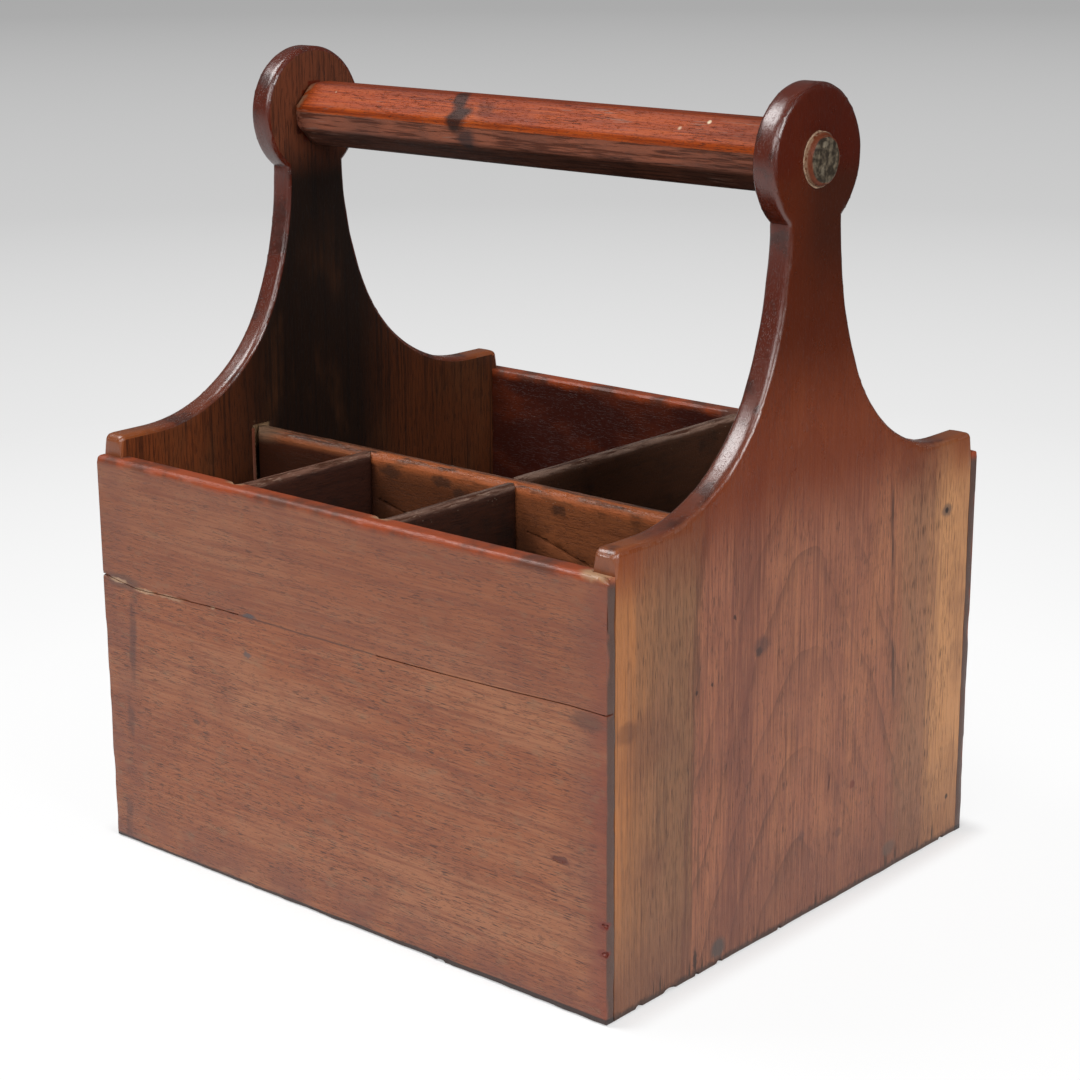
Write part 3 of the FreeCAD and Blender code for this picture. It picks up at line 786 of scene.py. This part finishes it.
# middle, reach, tone, strength
RIGHT_MARKS = (
    ((150, -75.7, 124.7), (4, 1.3, 1.3), (0.030, 0.012, 0.010), 0.9),
    ((150, -65.8, 125.4), (4, 1.3, 1.3), (0.035, 0.012, 0.010), 0.9),
    ((150, -51.1, 150.4), (4, 1.4, 1.4), (0.030, 0.012, 0.010), 0.9),
    ((150, 118.0, 20.6), (4, 1.7, 1.7), (0.025, 0.014, 0.012), 0.9),
    ((150, 107.9, 161.6), (4, 5.5, 4.0), (0.095, 0.062, 0.050), 0.7),
    ((150, 107.9, 161.6), (4, 1.8, 1.8), (0.022, 0.012, 0.010), 0.95),
    ((150, -32.1, 133.6), (4, 7.5, 5.0), (0.080, 0.038, 0.032), 0.65),
    ((150, -34.0, 131.0), (4, 3.0, 2.5), (0.040, 0.022, 0.020), 0.7),
    ((150, -58.8, 7.4), (4, 6.5, 6.0), (0.060, 0.055, 0.052), 0.8),
    ((150, -74.6, 7.7), (4, 1.6, 7.0), (0.024, 0.014, 0.012), 0.85),
    ((150, 69.4, 10.3), (4, 7.0, 4.5), (0.10, 0.075, 0.062), 0.55),
    ((150, 38.1, 51.1), (4, 2.4, 2.6), (0.12, 0.022, 0.014), 0.7),
    ((150, -0.3, 38.8), (4, 3.0, 3.0), (0.10, 0.044, 0.034), 0.55),
    ((150, 28.2, 31.4), (4, 3.4, 3.0), (0.10, 0.044, 0.034), 0.55),
    ((150, -120.0, 120.0), (4, 9, 6), (0.10, 0.038, 0.022), 0.5),
)


def draw_arc(middle, degrees, steps):
    """Turns the selected point about a middle, seen from +X, and leaves an arc."""
    bpy.ops.mesh.spin(
        steps=steps, angle=-math.radians(degrees), center=Vector(middle) * MM, axis=(1, 0, 0))


def ear_height(node):
    """The top of the panel's points near its outermost edge."""
    points = [Vector(corner.co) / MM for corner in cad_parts[node].data.vertices]
    edge = max(point.y for point in points)
    return max(point.z for point in points if point.y > edge - 6)


def rod(name, radius, length, middle_x):
    """A round bar along X through the heads' middles."""
    deselect()
    bpy.ops.mesh.primitive_cylinder_add(
        vertices=64, radius=radius * MM, depth=length * MM,
        location=(middle_x * MM, 0, HEAD_Z * MM), rotation=(0, math.pi / 2, 0))
    return settle(name)


def end_panel(name, node):
    """The outline drawn from its lower front corner, filled, and drawn out to its thickness."""
    low, high = node_box(node)
    ear_top = ear_height(node)
    neck_z = HEAD_Z - math.sqrt(HEAD_RADIUS ** 2 - NECK_HALF_WIDTH ** 2)
    wide = high.y - EAR_LAND - NECK_HALF_WIDTH
    tall = neck_z - ear_top
    sine, cosine = math.sin(math.radians(SWEEP_TURN)), math.cos(math.radians(SWEEP_TURN))
    share = sine + cosine - 1
    low_radius = (wide * cosine - tall * (1 - sine)) / share
    high_radius = (tall * sine - wide * (1 - cosine)) / share
    head_turn = 180 + 2 * math.degrees(math.acos(NECK_HALF_WIDTH / HEAD_RADIUS))
    panel = start_line(name, (low.x, low.y, 0))
    draw_by((0, high.y - low.y, 0))
    draw_by((0, 0, ear_top - EAR_RADIUS))
    draw_arc((low.x, high.y - EAR_RADIUS, ear_top - EAR_RADIUS), 90, EAR_STEPS)
    draw_by((0, EAR_RADIUS - EAR_LAND, 0))
    draw_arc((low.x, high.y - EAR_LAND, ear_top + low_radius), -SWEEP_TURN, LOW_SWEEP_STEPS)
    draw_arc((low.x, NECK_HALF_WIDTH + high_radius, neck_z), SWEEP_TURN - 90, HIGH_SWEEP_STEPS)
    draw_arc((low.x, 0, HEAD_Z), head_turn, HEAD_STEPS)
    draw_arc((low.x, -NECK_HALF_WIDTH - high_radius, neck_z), SWEEP_TURN - 90, HIGH_SWEEP_STEPS)
    draw_arc((low.x, low.y + EAR_LAND, ear_top + low_radius), -SWEEP_TURN, LOW_SWEEP_STEPS)
    draw_by((0, EAR_RADIUS - EAR_LAND, 0))
    draw_arc((low.x, low.y + EAR_RADIUS, ear_top - EAR_RADIUS), 90, EAR_STEPS)
    select_all()
    bpy.ops.mesh.edge_face_add()
    draw_by((high.x - low.x, 0, 0))
    weld(WELD)
    bpy.ops.mesh.normals_make_consistent(inside=False)
    close()
    round_edges(panel, PANEL_ROUND, lambda a, b: min(a.z, b.z) > front_high.z + 3
                and abs(a.x - b.x) < 1)
    round_edges(panel, FOOT_ROUND, lambda a, b: max(a.z, b.z) < 0.1)
    inner_x = low.x if low.x > 0 else high.x
    seat_top = node_box("long_divider")[1].z + SEAT_OVER_DIVIDER
    groove(panel, (inner_x, middle_of("long_divider").y, seat_top - SEAT_HALF_LENGTH),
           (SEAT_DEPTH, SEAT_HALF_WIDTH, SEAT_HALF_LENGTH))
    cut(panel, rod("tenon_hole_cutter", TENON_RADIUS + TENON_PLAY, HOLE_LENGTH, inner_x))
    return panel


def panel_polish(name, side, seed, shine):
    """An end panel's polish: golden sapwood at the edges, dark and glossy from the ears up."""
    polish = Patina(name)
    polish.shine(shine)
    x = polish.x * side
    y, z = polish.y, polish.z
    outward = polish.maths("SQRT", y * y + 480.0)
    height = polish.grain(2, PANEL_TONES, seed, (outward + z * 0.45) / 20.0 + 0.09)
    sway = (polish.cloud((0.0, 0.02, 0.008), seed + 23) - 0.5) * 14
    frayed = (polish.cloud((0.0, 0.30, 0.016), seed + 25, 5.0) - 0.5) * 34
    swayed = y + sway + frayed
    leant = swayed + (z - 100.0) * -0.06
    olive = leant.between(-69, -84) * 0.8
    polish.stain((0.195, 0.096, 0.048), olive)
    polish.stain((0.060, 0.024, 0.016), leant.near(-77, 4.0) * 0.45)
    polish.stain((0.120, 0.040, 0.030), leant.near(-44, 12) * 0.45)
    polish.stain((0.285, 0.122, 0.052), leant.between(-96, -118) * 0.7)
    polish.stain((0.385, 0.148, 0.050), leant.between(-114, -127) * 0.8)
    polish.stain((0.285, 0.140, 0.072), swayed.between(60, 84) * 0.65)
    polish.stain((0.53, 0.255, 0.108), swayed.between(90, 110) * 0.85)
    bark = polish.cloud((0, 2.3, 0.13), seed + 27, 1.0).between(0.54, 0.64)
    bark = bark * polish.cloud((0, 0.09, 0.03), seed + 29).between(0.30, 0.48)
    bark = bark * polish.either(olive, swayed.between(62, 84))
    bark = bark * polish.level(0.3, 1.0, abs(swayed).between(124, 110))
    polish.stain((0.052, 0.022, 0.012), bark * 0.85)
    patch = polish.cloud(even(0.02), seed + 33, 4.0)
    polish.stain((0.125, 0.048, 0.034), z.between(60, 0) * 0.50)
    polish.stain((0.115, 0.040, 0.026), patch.between(0.50, 0.72) * 0.4)
    threads = polish.cloud((0, 0.95, 0.022), seed + 35, 4.0)
    polish.stain((0.075, 0.028, 0.017), threads.between(0.52, 0.70) * 0.55)
    polish.stain((0.400, 0.170, 0.090), threads.between(0.46, 0.30) * z.between(215, 175) * 0.32)
    ear = abs(y).between(104, 118) * z.between(168, 190)
    polish.stain((0.23, 0.056, 0.014), ear * 0.7)
    up = z + patch * 22
    polish.stain((0.138, 0.022, 0.004), up.between(172, 216) * 0.82)
    polish.stain((0.062, 0.009, 0.002), up.between(225, 275) * 0.85)
    polish.stain((0.030, 0.008, 0.004), up.between(270, 310) * y.between(-20, 6) * 0.7)
    polish.stain((0.063, 0.006, 0.002), z.between(318, 330) * 0.60)
    edge_tone = polish.tint((0.085, 0.011, 0.003), (0.120, 0.027, 0.011), z.between(262, 200))
    edge_tone = polish.tint(edge_tone, (0.21, 0.052, 0.011),
                            abs(y).between(94, 116) * z.between(300, 210))
    blotch = polish.cloud(even(0.07), seed + 39, 5.0).between(0.50, 0.66)
    edge_tone = polish.tint(edge_tone, (0.030, 0.008, 0.005), blotch * 0.7)
    off_face = 1.0 - x.between(148.3, 149.6)
    polish.stain(edge_tone, off_face * z.between(EDGE_FOOT, EDGE_FOOT + 4))
    glossy = 0.22 if shine < 0.5 else 0.19
    gloss = polish.level(0.42, glossy, up.between(175, 215))
    gloss = gloss + polish.cloud(even(0.1), seed + 47, 3.0) * 0.14
    return polish, gloss, height


def stain_foot_shadow_and_dirt(polish, seed):
    """Painted contact shadow and dirt along the bottom edge, with slivers of dirt drawn up the
    grain.
    """
    high_dirt = polish.cloud((0, 0.11, 0.0), seed + 53) * 24
    slivers = polish.cloud((0, 0.42, 0.02), seed + 51, 2.0).between(0.56, 0.64)
    slivers = slivers * (polish.z - high_dirt).between(-1, -9) * 0.85
    # The ragged band along the bottom is painted contact shadow as well as dirt.
    band_wobble = polish.cloud((0, 0.3, 0.3), seed + 55) * 4
    shadow_and_dirt = (polish.z + band_wobble).between(6.2, 3.2) * 0.85
    polish.stain((0.030, 0.016, 0.012), polish.either(slivers, shadow_and_dirt))


def bare_inside(name, side, seed):
    """The inside of an end panel: never polished, near black with age, browner at its sides."""
    bare = Patina(name)
    x = bare.x * side
    y, z = bare.y, bare.z
    seat_y = middle_of("long_divider").y
    core = bare.cloud((0.03, 0.03, 0.012), seed + 41, 4.0)
    bare.colour = bare.tint(
        (0.012, 0.0045, 0.002), (0.072, 0.018, 0.005), abs(y + 4.0).between(26, 66))
    bare.stain((0.165, 0.037, 0.009), y.between(-62, -92) * 0.75)
    bare.stain((0.072, 0.025, 0.009), core.between(0.50, 0.70) * z.between(290, 240) * 0.6)
    bare.stain((0.115, 0.031, 0.013), z.between(296, 318))
    streak = bare.cloud((0, 0.5, 0.012), seed + 43, 3.0).between(0.48, 0.66)
    bare.stain((0.006, 0.003, 0.002), streak * 0.55)
    pores = bare.cloud((0, 1.6, 0.12), seed + 45, 1.0).between(0.56, 0.64)
    bare.stain((0.004, 0.002, 0.002), pores * 0.4)
    bare.stain((0.22, 0.15, 0.10), bare.specks(0.4, 0.22, 0.10, seed) * 0.5)
    seat = y.near(seat_y, 6.6) * x.between(138.7, 139.2) * z.between(172, 180)
    bare.stain((0.32, 0.19, 0.10), seat * z.between(190, 186) * 0.85)
    crumbs = bare.cloud(even(0.8), seed + 49, 3.0).between(0.50, 0.60)
    bare.stain((0.30, 0.20, 0.12), y.near(seat_y - 5.6, 1.5) * crumbs * z.between(188, 184) * 0.7)
    bare.shine(0.14)
    bare.lay(0.6, core * 0.5 - pores, 0.15)
    return bare


def line_panel(piece, bare, edge, side, inner_x):
    """Gives a panel's inner face and groove, and the edges above its ears, their own finishes."""
    piece.data.materials.append(bare.material)
    piece.data.materials.append(edge.material)
    for face in piece.data.polygons:
        middle = face.center / MM
        in_groove = (
            side * face.normal.x < -0.2 and side * middle.x < inner_x + 5
            and abs(middle.y - middle_of("long_divider").y) < 6 and middle.z < 190)
        if side * middle.x < inner_x + 0.05 or in_groove:
            face.material_index = 1
        elif abs(face.normal.x) < 0.93 and middle.z > EDGE_FOOT:
            face.material_index = 2


for name, node, side, seed in (("right", "right_end_panel", 1, 44.0),
                               ("left", "left_end_panel", -1, 64.0)):
    panel = end_panel(name + "_end_panel_wood", node)
    for notch_y, notch_wide in FOOT_NOTCHES:
        chip(panel, (side * NOTCH_X, notch_y, 0.0), (NOTCH_DEPTH, notch_wide, NOTCH_HEIGHT),
             side * NOTCH_TILT)
    divide(panel, PANEL_GRID)
    wear(panel, PANEL_WEAR, PANEL_WEAR_PATCH)
    polish, gloss, height = panel_polish(name + "_end_panel_polish", side, seed, FACE_SHINE)
    stain_foot_shadow_and_dirt(polish, seed)
    if name == "right":
        y, z = polish.y, polish.z
        streak = (y - (175.6 - z) * 0.065).near(62.9, 1.5) * z.between(74, 92)
        streak = streak * z.between(188, 172)
        streak = streak * polish.cloud((0, 0.1, 0.03), 91.0, 3.0).between(0.36, 0.52) * 0.75
        polish.stain((0.045, 0.022, 0.018), streak)
        scar = (y + (z - 57.5) * -0.12).near(19.9, 0.9) * z.near(57.5, 5.5)
        polish.stain((0.060, 0.014, 0.010), scar * 0.85)
        polish.marks(polish.ragged(7.0, 2.4), RIGHT_MARKS)
    polish.lay(gloss, height, POLISH_RELIEF)
    hand_over(panel, polish, "end_wood", node)
    edge, gloss, height = panel_polish(name + "_end_panel_edge", side, seed, EDGE_SHINE)
    edge.lay(gloss, height, EDGE_RELIEF)
    inner_x = min(abs(node_box(node)[0].x), abs(node_box(node)[1].x))
    line_panel(panel, bare_inside(name + "_end_panel_inside", side, seed), edge, side, inner_x)


# ------------------------------------------------------------------ dividers
# Thinner boards with their ends cut to a V and pushed down into the grooves. Their tops are
# whittled round and dusty.

DIVIDER_POINT = 3.2
TOP_ROUND = 3.3
DIVIDER_GRID = 3.0
DIVIDER_WEAR = 0.9
DIVIDER_WEAR_PATCH = 6.0
DIVIDER_RELIEF = 0.2
DIVIDER_TONES = ((0.090, 0.028, 0.013), (0.060, 0.018, 0.009), (0.030, 0.010, 0.005),
                 (0.010, 0.004, 0.003))
LONG_DIVIDER_TONES = ((0.24, 0.085, 0.030), (0.160, 0.050, 0.018), (0.070, 0.022, 0.010),
                      (0.018, 0.008, 0.005))
CRACK_WIDTH = 0.6
CRACK_DEPTH = 1.6
CRACKS = (((-56.5, 162.6), (-50.0, 161.0), (-41.5, 159.2), (-36.0, 158.8)),
          ((33.5, 163.6), (45.0, 161.4), (56.0, 158.0), (69.0, 154.8)))
# node, the axis it runs along, its tones, then those of its low side, high side and top
DIVIDERS = (
    ("long_divider", 0, LONG_DIVIDER_TONES,
     (0.220, 0.064, 0.022), (0.026, 0.009, 0.004), (0.180, 0.066, 0.034), 80.0),
    ("front_left_divider", 1, DIVIDER_TONES,
     (0.050, 0.013, 0.006), (0.020, 0.0045, 0.002), (0.150, 0.074, 0.052), 84.0),
    ("front_right_divider", 1, DIVIDER_TONES,
     (0.060, 0.016, 0.007), (0.017, 0.0045, 0.002), (0.140, 0.080, 0.060), 88.0),
    ("rear_divider", 1, DIVIDER_TONES,
     (0.040, 0.014, 0.006), (0.036, 0.014, 0.006), (0.180, 0.110, 0.082), 92.0),
)
KNOT_TONE = (0.040, 0.018, 0.011)
# middle, reach, tone, strength
KNOTS = (
    ((-48.9, -45.5, 176.8), (9, 6, 4), KNOT_TONE, 0.70),
    ((-16.7, -45.5, 177.4), (8, 6, 3.4), KNOT_TONE, 0.70),
    ((-6.0, -45.5, 174.0), (6, 6, 2.4), KNOT_TONE, 0.70),
    ((52.0, -45.5, 176.4), (5, 6, 2.6), KNOT_TONE, 0.70),
    ((-84.0, -45.5, 170.0), (4, 6, 5.0), KNOT_TONE, 0.70),
)


def saw_off(place, facing):
    """Cuts off what lies beyond a plane, and closes the cut."""
    select_all()
    bpy.ops.mesh.bisect(
        plane_co=Vector(place) * MM, plane_no=facing, use_fill=True, clear_outer=True)


def divider(name, node, axis):
    """A board along an axis (0 for X, 1 for Y), its ends bisected to a V, its top rounded."""
    low, high = node_box(node)
    board = block(name, low, high)
    across = 1 - axis
    half = (high[across] - low[across]) / 2
    edit(board)
    for end in (low, high):
        for side in (-1, 1):
            corner = Vector((0, 0, 0))
            corner[axis] = end[axis]
            corner[across] = middle_of(node)[across]
            facing = Vector((0, 0, 0))
            facing[axis] = half * (1 if end is high else -1)
            facing[across] = side * DIVIDER_POINT
            saw_off(corner, facing)
    close()
    round_edges(board, TOP_ROUND, lambda a, b: min(a.z, b.z) > high.z - 0.1
                and abs((a - b)[axis]) > 20, steps=4)
    return board


def divider_wax(name, node, axis, tones, low_tone, high_tone, top_tone, seed):
    """Old wax on a divider: painted shade low down, scuffed and dusty along the top."""
    wax = Patina(name)
    z = wax.z
    top = node_box(node)[1].z
    middle = middle_of(node)[1 - axis]
    grit = wax.grain(axis, tones, seed)
    patch = wax.cloud(even(0.05), seed + 21, 5.0)
    across = (wax.y, wax.x)[axis]
    wax.stain(wax.tint(low_tone, high_tone, across.between(middle - 1, middle + 1)), 0.75)
    wax.stain((0.006, 0.004, 0.003), patch.between(0.52, 0.70) * 0.55)
    # Painted shade: darker towards the compartments' floors.
    wax.stain((0.014, 0.005, 0.003), z.between(168, 118) * 0.80)
    scuffed = (z + patch * 2.6).between(top - 1.2, top + 0.6)
    wax.stain(wax.tint(top_tone, (0.060, 0.024, 0.014), wax.cloud(
        along_grain(axis, 0.5, 0.05), seed + 23, 5.0).between(0.42, 0.62)), scuffed)
    dust = wax.either(wax.specks(0.8, 0.26, 0.22, seed), wax.specks(0.45, 0.26, 0.07, seed + 3))
    dust = dust * z.between(top - 13, top - 2)
    dust = dust * wax.cloud(even(0.06), seed + 35, 3.0).between(0.44, 0.60) * 0.8
    wax.stain((0.32, 0.25, 0.19), dust)
    # Pale streaks along the top arris: scuffs, and a painted highlight where the worn arris
    # catches the light.
    scrapes_and_highlight = wax.cloud(along_grain(axis, 1.3, 0.16), seed + 33, 4.0).between(0.58, 0.66)
    wax.stain((0.34, 0.24, 0.18), scrapes_and_highlight * z.between(top - 2.6, top - 0.8) * 0.40)
    wax.shine(0.16)
    gloss = wax.level(0.62, 0.26, scuffed)
    return wax, gloss, grit + wax.cloud(even(1.1), seed + 27, 4.0) * 1.4


def stain_long_divider(wax, front_y):
    """The long divider's marks: painted shade beside what crosses it, darker towards its left, a
    rubbed arris and knots.
    """
    x, y, z = wax.x, wax.y, wax.z
    for crossed in ("front_left_divider", "front_right_divider"):
        # Painted shade in the corners beside each front divider.
        shade_beside_crossing = abs(x - middle_of(crossed).x).between(26, 5) * z.between(178, 160)
        wax.stain((0.018, 0.006, 0.003), shade_beside_crossing * 0.72)
    # Darker over the left compartment and the left part of the middle one.
    wax.stain((0.034, 0.007, 0.003), x.between(-56, -60) * z.between(181, 178) * 0.85)
    wax.stain((0.026, 0.008, 0.003), x.between(8, 2) * z.between(181, 172) * 0.60)
    arris = y.between(front_y + 6.5, front_y + 3.0) * z.between(177.5, 180.5)
    arris = arris * x.between(-72, -60) * 0.88
    wax.stain((0.33, 0.088, 0.027),
              arris * wax.cloud((0.06, 0.3, 0.3), 95.0, 4.0).between(0.38, 0.52))
    wax.marks(wax.ragged(9.0, 5.0, 0.22), KNOTS)
    wax.stain((0.30, 0.19, 0.12), x.between(-118, -138) * z.between(176, 182) * 0.7)


for name, axis, tones, low_tone, high_tone, top_tone, seed in DIVIDERS:
    board = divider(name + "_wood", name, axis)
    front_y = node_box(name)[0].y
    if name == "long_divider":
        for points in CRACKS:
            split(board, points, front_y, CRACK_WIDTH, CRACK_DEPTH)
    divide(board, DIVIDER_GRID)
    wear(board, DIVIDER_WEAR, DIVIDER_WEAR_PATCH)
    wax, gloss, grit = divider_wax(
        name + "_wax", name, axis, tones, low_tone, high_tone, top_tone, seed)
    if name == "long_divider":
        stain_long_divider(wax, front_y)
    wax.lay(gloss, grit, DIVIDER_RELIEF)
    hand_over(board, wax, "divider_wood", name)


# ------------------------------------------------------------------ bottom board
# A flat board let in between the four walls, above a shallow recess.


def refinish(node, finish):
    """Gives a CAD node's own body a finish."""
    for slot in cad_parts[node].material_slots:
        slot.material = finish.material


bottom_finish = Patina("bottom_board_wood")
height = bottom_finish.grain(0, DIVIDER_TONES, 101.0)
bottom_finish.lay(0.7, height, 0.15)
refinish("bottom_board", bottom_finish)


# ------------------------------------------------------------------ handle rail
# An eight-sided rail planed by hand, tapered at its shoulders. Its round tenons go through the
# heads and are glued there.

RAIL_SECTION = ((4.5, 14.5), (14.5, 1.0), (14.5, -6.0), (5.5, -14.5))
RAIL_TAPER = 7.0
RAIL_TAPER_SHARE = 0.82
# part of the taper's length, part of its narrowing
TAPER_STEPS = ((0.6, 0.35), (0.4, 0.65))
RAIL_ROUND = 1.1
TENON_ROUND = 2.2
RAIL_GRID = 2.5
RAIL_WEAR = 0.5
RAIL_WEAR_PATCH = 8.0
RAIL_RELIEF = 0.12
RAIL_TONES = ((0.405, 0.078, 0.010), (0.318, 0.048, 0.006), (0.150, 0.020, 0.004),
              (0.045, 0.010, 0.005))
# middle, reach, tone, strength
RAIL_BURNS = (
    ((-38, -6, 341), (5.5, 12, 6), (0.012, 0.008, 0.007), 0.85),
    ((-34, -12, 334), (8, 8, 9), (0.012, 0.008, 0.007), 0.9),
    ((-28, -16, 325), (8, 6, 7), (0.030, 0.022, 0.022), 0.8),
    ((-20, -8, 338), (9, 9, 5), (0.070, 0.014, 0.007), 0.6),
    ((-4, -10, 336), (30, 9, 4), (0.16, 0.024, 0.010), 0.5),
)
FLECK_TONE = (0.75, 0.62, 0.42)
RAIL_FLECKS = (
    ((87.5, -9.3, 337.0), even(1.76), FLECK_TONE, 0.95),
    ((100.4, -6.7, 340.5), even(1.44), FLECK_TONE, 0.95),
    ((-115.6, -7.4, 339.6), even(0.96), FLECK_TONE, 0.95),
)
TIP_MARKS = (((153.5, -1.2, 335.4), (3, 2.4, 1.4)), ((153.5, -2.6, 324.6), (3, 1.8, 2.6)))

shoulder_x, tenon_end = node_box("right_end_panel")[0].x, node_box("handle_rail")[1].x
rail_half = RAIL_SECTION[0][1]
rail = block("handle_rail_wood", (RAIL_TAPER - shoulder_x, -rail_half, HEAD_Z - rail_half),
             (shoulder_x - RAIL_TAPER, rail_half, HEAD_Z + rail_half))
edit(rail)
for side in (-1, 1):
    for first, last in (RAIL_SECTION[:2], RAIL_SECTION[2:]):
        facing = Vector((0, side * (first[1] - last[1]), last[0] - first[0]))
        saw_off((0, side * first[0], HEAD_Z + first[1]), facing)
for side in (-1, 1):
    bpy.ops.mesh.select_mode(type="FACE")
    bpy.ops.mesh.select_all(action="DESELECT")
    rail_mesh = bmesh.from_edit_mesh(rail.data)
    for face in rail_mesh.faces:
        face.select_set(face.normal.x * side > 0.9)
    bmesh.update_edit_mesh(rail.data)
    for length_share, narrowing in TAPER_STEPS:
        draw_by((side * RAIL_TAPER * length_share, 0, 0))
        shrink = 1 - (1 - RAIL_TAPER_SHARE) * narrowing
        bpy.ops.transform.resize(
            value=(1, shrink, shrink), center_override=Vector((0, 0, HEAD_Z)) * MM)
close()
round_edges(rail, RAIL_ROUND, lambda a, b: abs(a.x - b.x) > 100)
tenons = rod("tenons", TENON_RADIUS, 2 * tenon_end, 0)
round_edges(tenons, TENON_ROUND, lambda a, b: abs(a.x - b.x) < 1, steps=4)
combine(rail, tenons, "UNION")
divide(rail, RAIL_GRID)
wear(rail, RAIL_WEAR, RAIL_WEAR_PATCH)

wax = Patina("rail_polish")
height = wax.grain(0, RAIL_TONES, 120.0)
x, y, out = wax.x, wax.y, abs(wax.x)
up = wax.z - HEAD_Z
patch = wax.cloud((0.03, 0.05, 0.05), 127.0, 4.0)
arris = up + (wax.cloud((0.12, 0.3, 0.3), 129.0, 4.0) - 0.5) * 0.9
side_tone = wax.tint((0.148, 0.061, 0.041), (0.225, 0.080, 0.048), patch.between(0.40, 0.62))
side_tone = wax.tint(side_tone, (0.024, 0.011, 0.008), wax.cloud(
    (0.045, 0.9, 0.9), 135.0, 4.0).between(0.46, 0.60) * 0.8)
wax.stain(side_tone, arris.between(1.9, 1.4) * 0.88)
wax.stain((0.020, 0.009, 0.006), up.between(-5.0, -8.0) * 0.75)
wax.stain((0.105, 0.018, 0.009), up.between(11.5, 14.2) * 0.55)
wax.stain((0.40, 0.095, 0.030), arris.near(2.0, 0.5) * 0.25)
grazed = wax.cloud((0.06, 0.9, 0.9), 131.0, 2.0).between(0.60, 0.66)
grazed = grazed * wax.cloud((0.02, 0.06, 0.06), 133.0).between(0.48, 0.60)
wax.stain((0.23, 0.13, 0.10), grazed * 0.5)
wax.marks(wax.ragged(11.0, 9.0, 0.09), RAIL_BURNS)
wax.marks(wax.place, RAIL_FLECKS)
# Painted highlight: a pale, patchy band over the upper part of the left shoulder's taper.
shoulder_highlight = x.between(-shoulder_x + 7.5, -shoulder_x + 3.5) * up.between(-2, 6)
shoulder_highlight = shoulder_highlight * wax.cloud(even(0.3), 137.0, 4.0).between(0.36, 0.56)
wax.stain((0.30, 0.17, 0.10), shoulder_highlight * 0.75)
tip_tone = wax.tint((0.026, 0.019, 0.013), (0.150, 0.118, 0.080),
                    wax.cloud(even(0.30), 141.0, 8.0).between(0.42, 0.70))
for middle, reach in TIP_MARKS:
    mark = wax.spot(wax.ragged(13.0, 2.4, 0.5), middle, reach)
    tip_tone = wax.tint(tip_tone, (0.30, 0.25, 0.18), mark * 0.35)
wax.stain((0.125, 0.030, 0.012), out.between(149, 150))
caked = out.between(149.4, 150.2) * out.between(152.0, 151.0) * y.between(4, -3)
caked = caked * wax.cloud(even(0.5), 145.0, 4.0).between(0.34, 0.50) * 0.85
wax.stain((0.30, 0.19, 0.12), caked)
tip = out.between(152.9, 153.3)
wax.stain(tip_tone, tip)
wax.shine(0.14)
gloss = wax.level(0.40, 0.56, wax.cloud((0.05, 0.2, 0.2), 143.0, 3.0))
wax.lay(wax.level(gloss, 0.55, tip), height, RAIL_RELIEF)
hand_over(rail, wax, "rail_wood", "handle_rail")


# ------------------------------------------------------------------ glue round the tenon
# Old glue and wax that has gathered round the right tenon where it leaves the head.

GLUE_THICKNESS = 0.9
GLUE_OFF_TENON = 0.2
GLUE_X = 150.1
GLUE_WEAR = 0.8
GLUE_WEAR_PATCH = 7.0

deselect()
bpy.ops.mesh.primitive_torus_add(
    major_radius=(TENON_RADIUS + GLUE_OFF_TENON) * MM, minor_radius=GLUE_THICKNESS * MM,
    major_segments=120, minor_segments=12, location=(GLUE_X * MM, 0, HEAD_Z * MM),
    rotation=(0, math.pi / 2, 0))
glue = settle("glue_round_tenon")
wear(glue, GLUE_WEAR, GLUE_WEAR_PATCH)
old_glue = Patina("old_glue")
crumbs = old_glue.cloud(even(0.5), 9.0, 5.0)
old_glue.colour = old_glue.tint(
    (0.29, 0.185, 0.118), (0.130, 0.066, 0.038), crumbs.between(0.46, 0.66))
old_glue.stain((0.055, 0.018, 0.010), old_glue.y.between(1, 7) * 0.85)
old_glue.lay(0.7, crumbs, 0.2)
hand_over(glue, old_glue, "rail_wood")


# ------------------------------------------------------------------ brads
# Small iron brads, punched below the faces and filled over.

iron = Patina("brad_iron")
rust = iron.cloud(even(1.2), 5.0, 4.0)
iron.colour = iron.tint((0.09, 0.07, 0.06), (0.12, 0.05, 0.025), rust)
iron.lay(0.6, rust, 0.05)
iron.shader.inputs["Metallic"].default_value = 0.6
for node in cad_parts:
    if node.endswith("_brads"):
        refinish(node, iron)
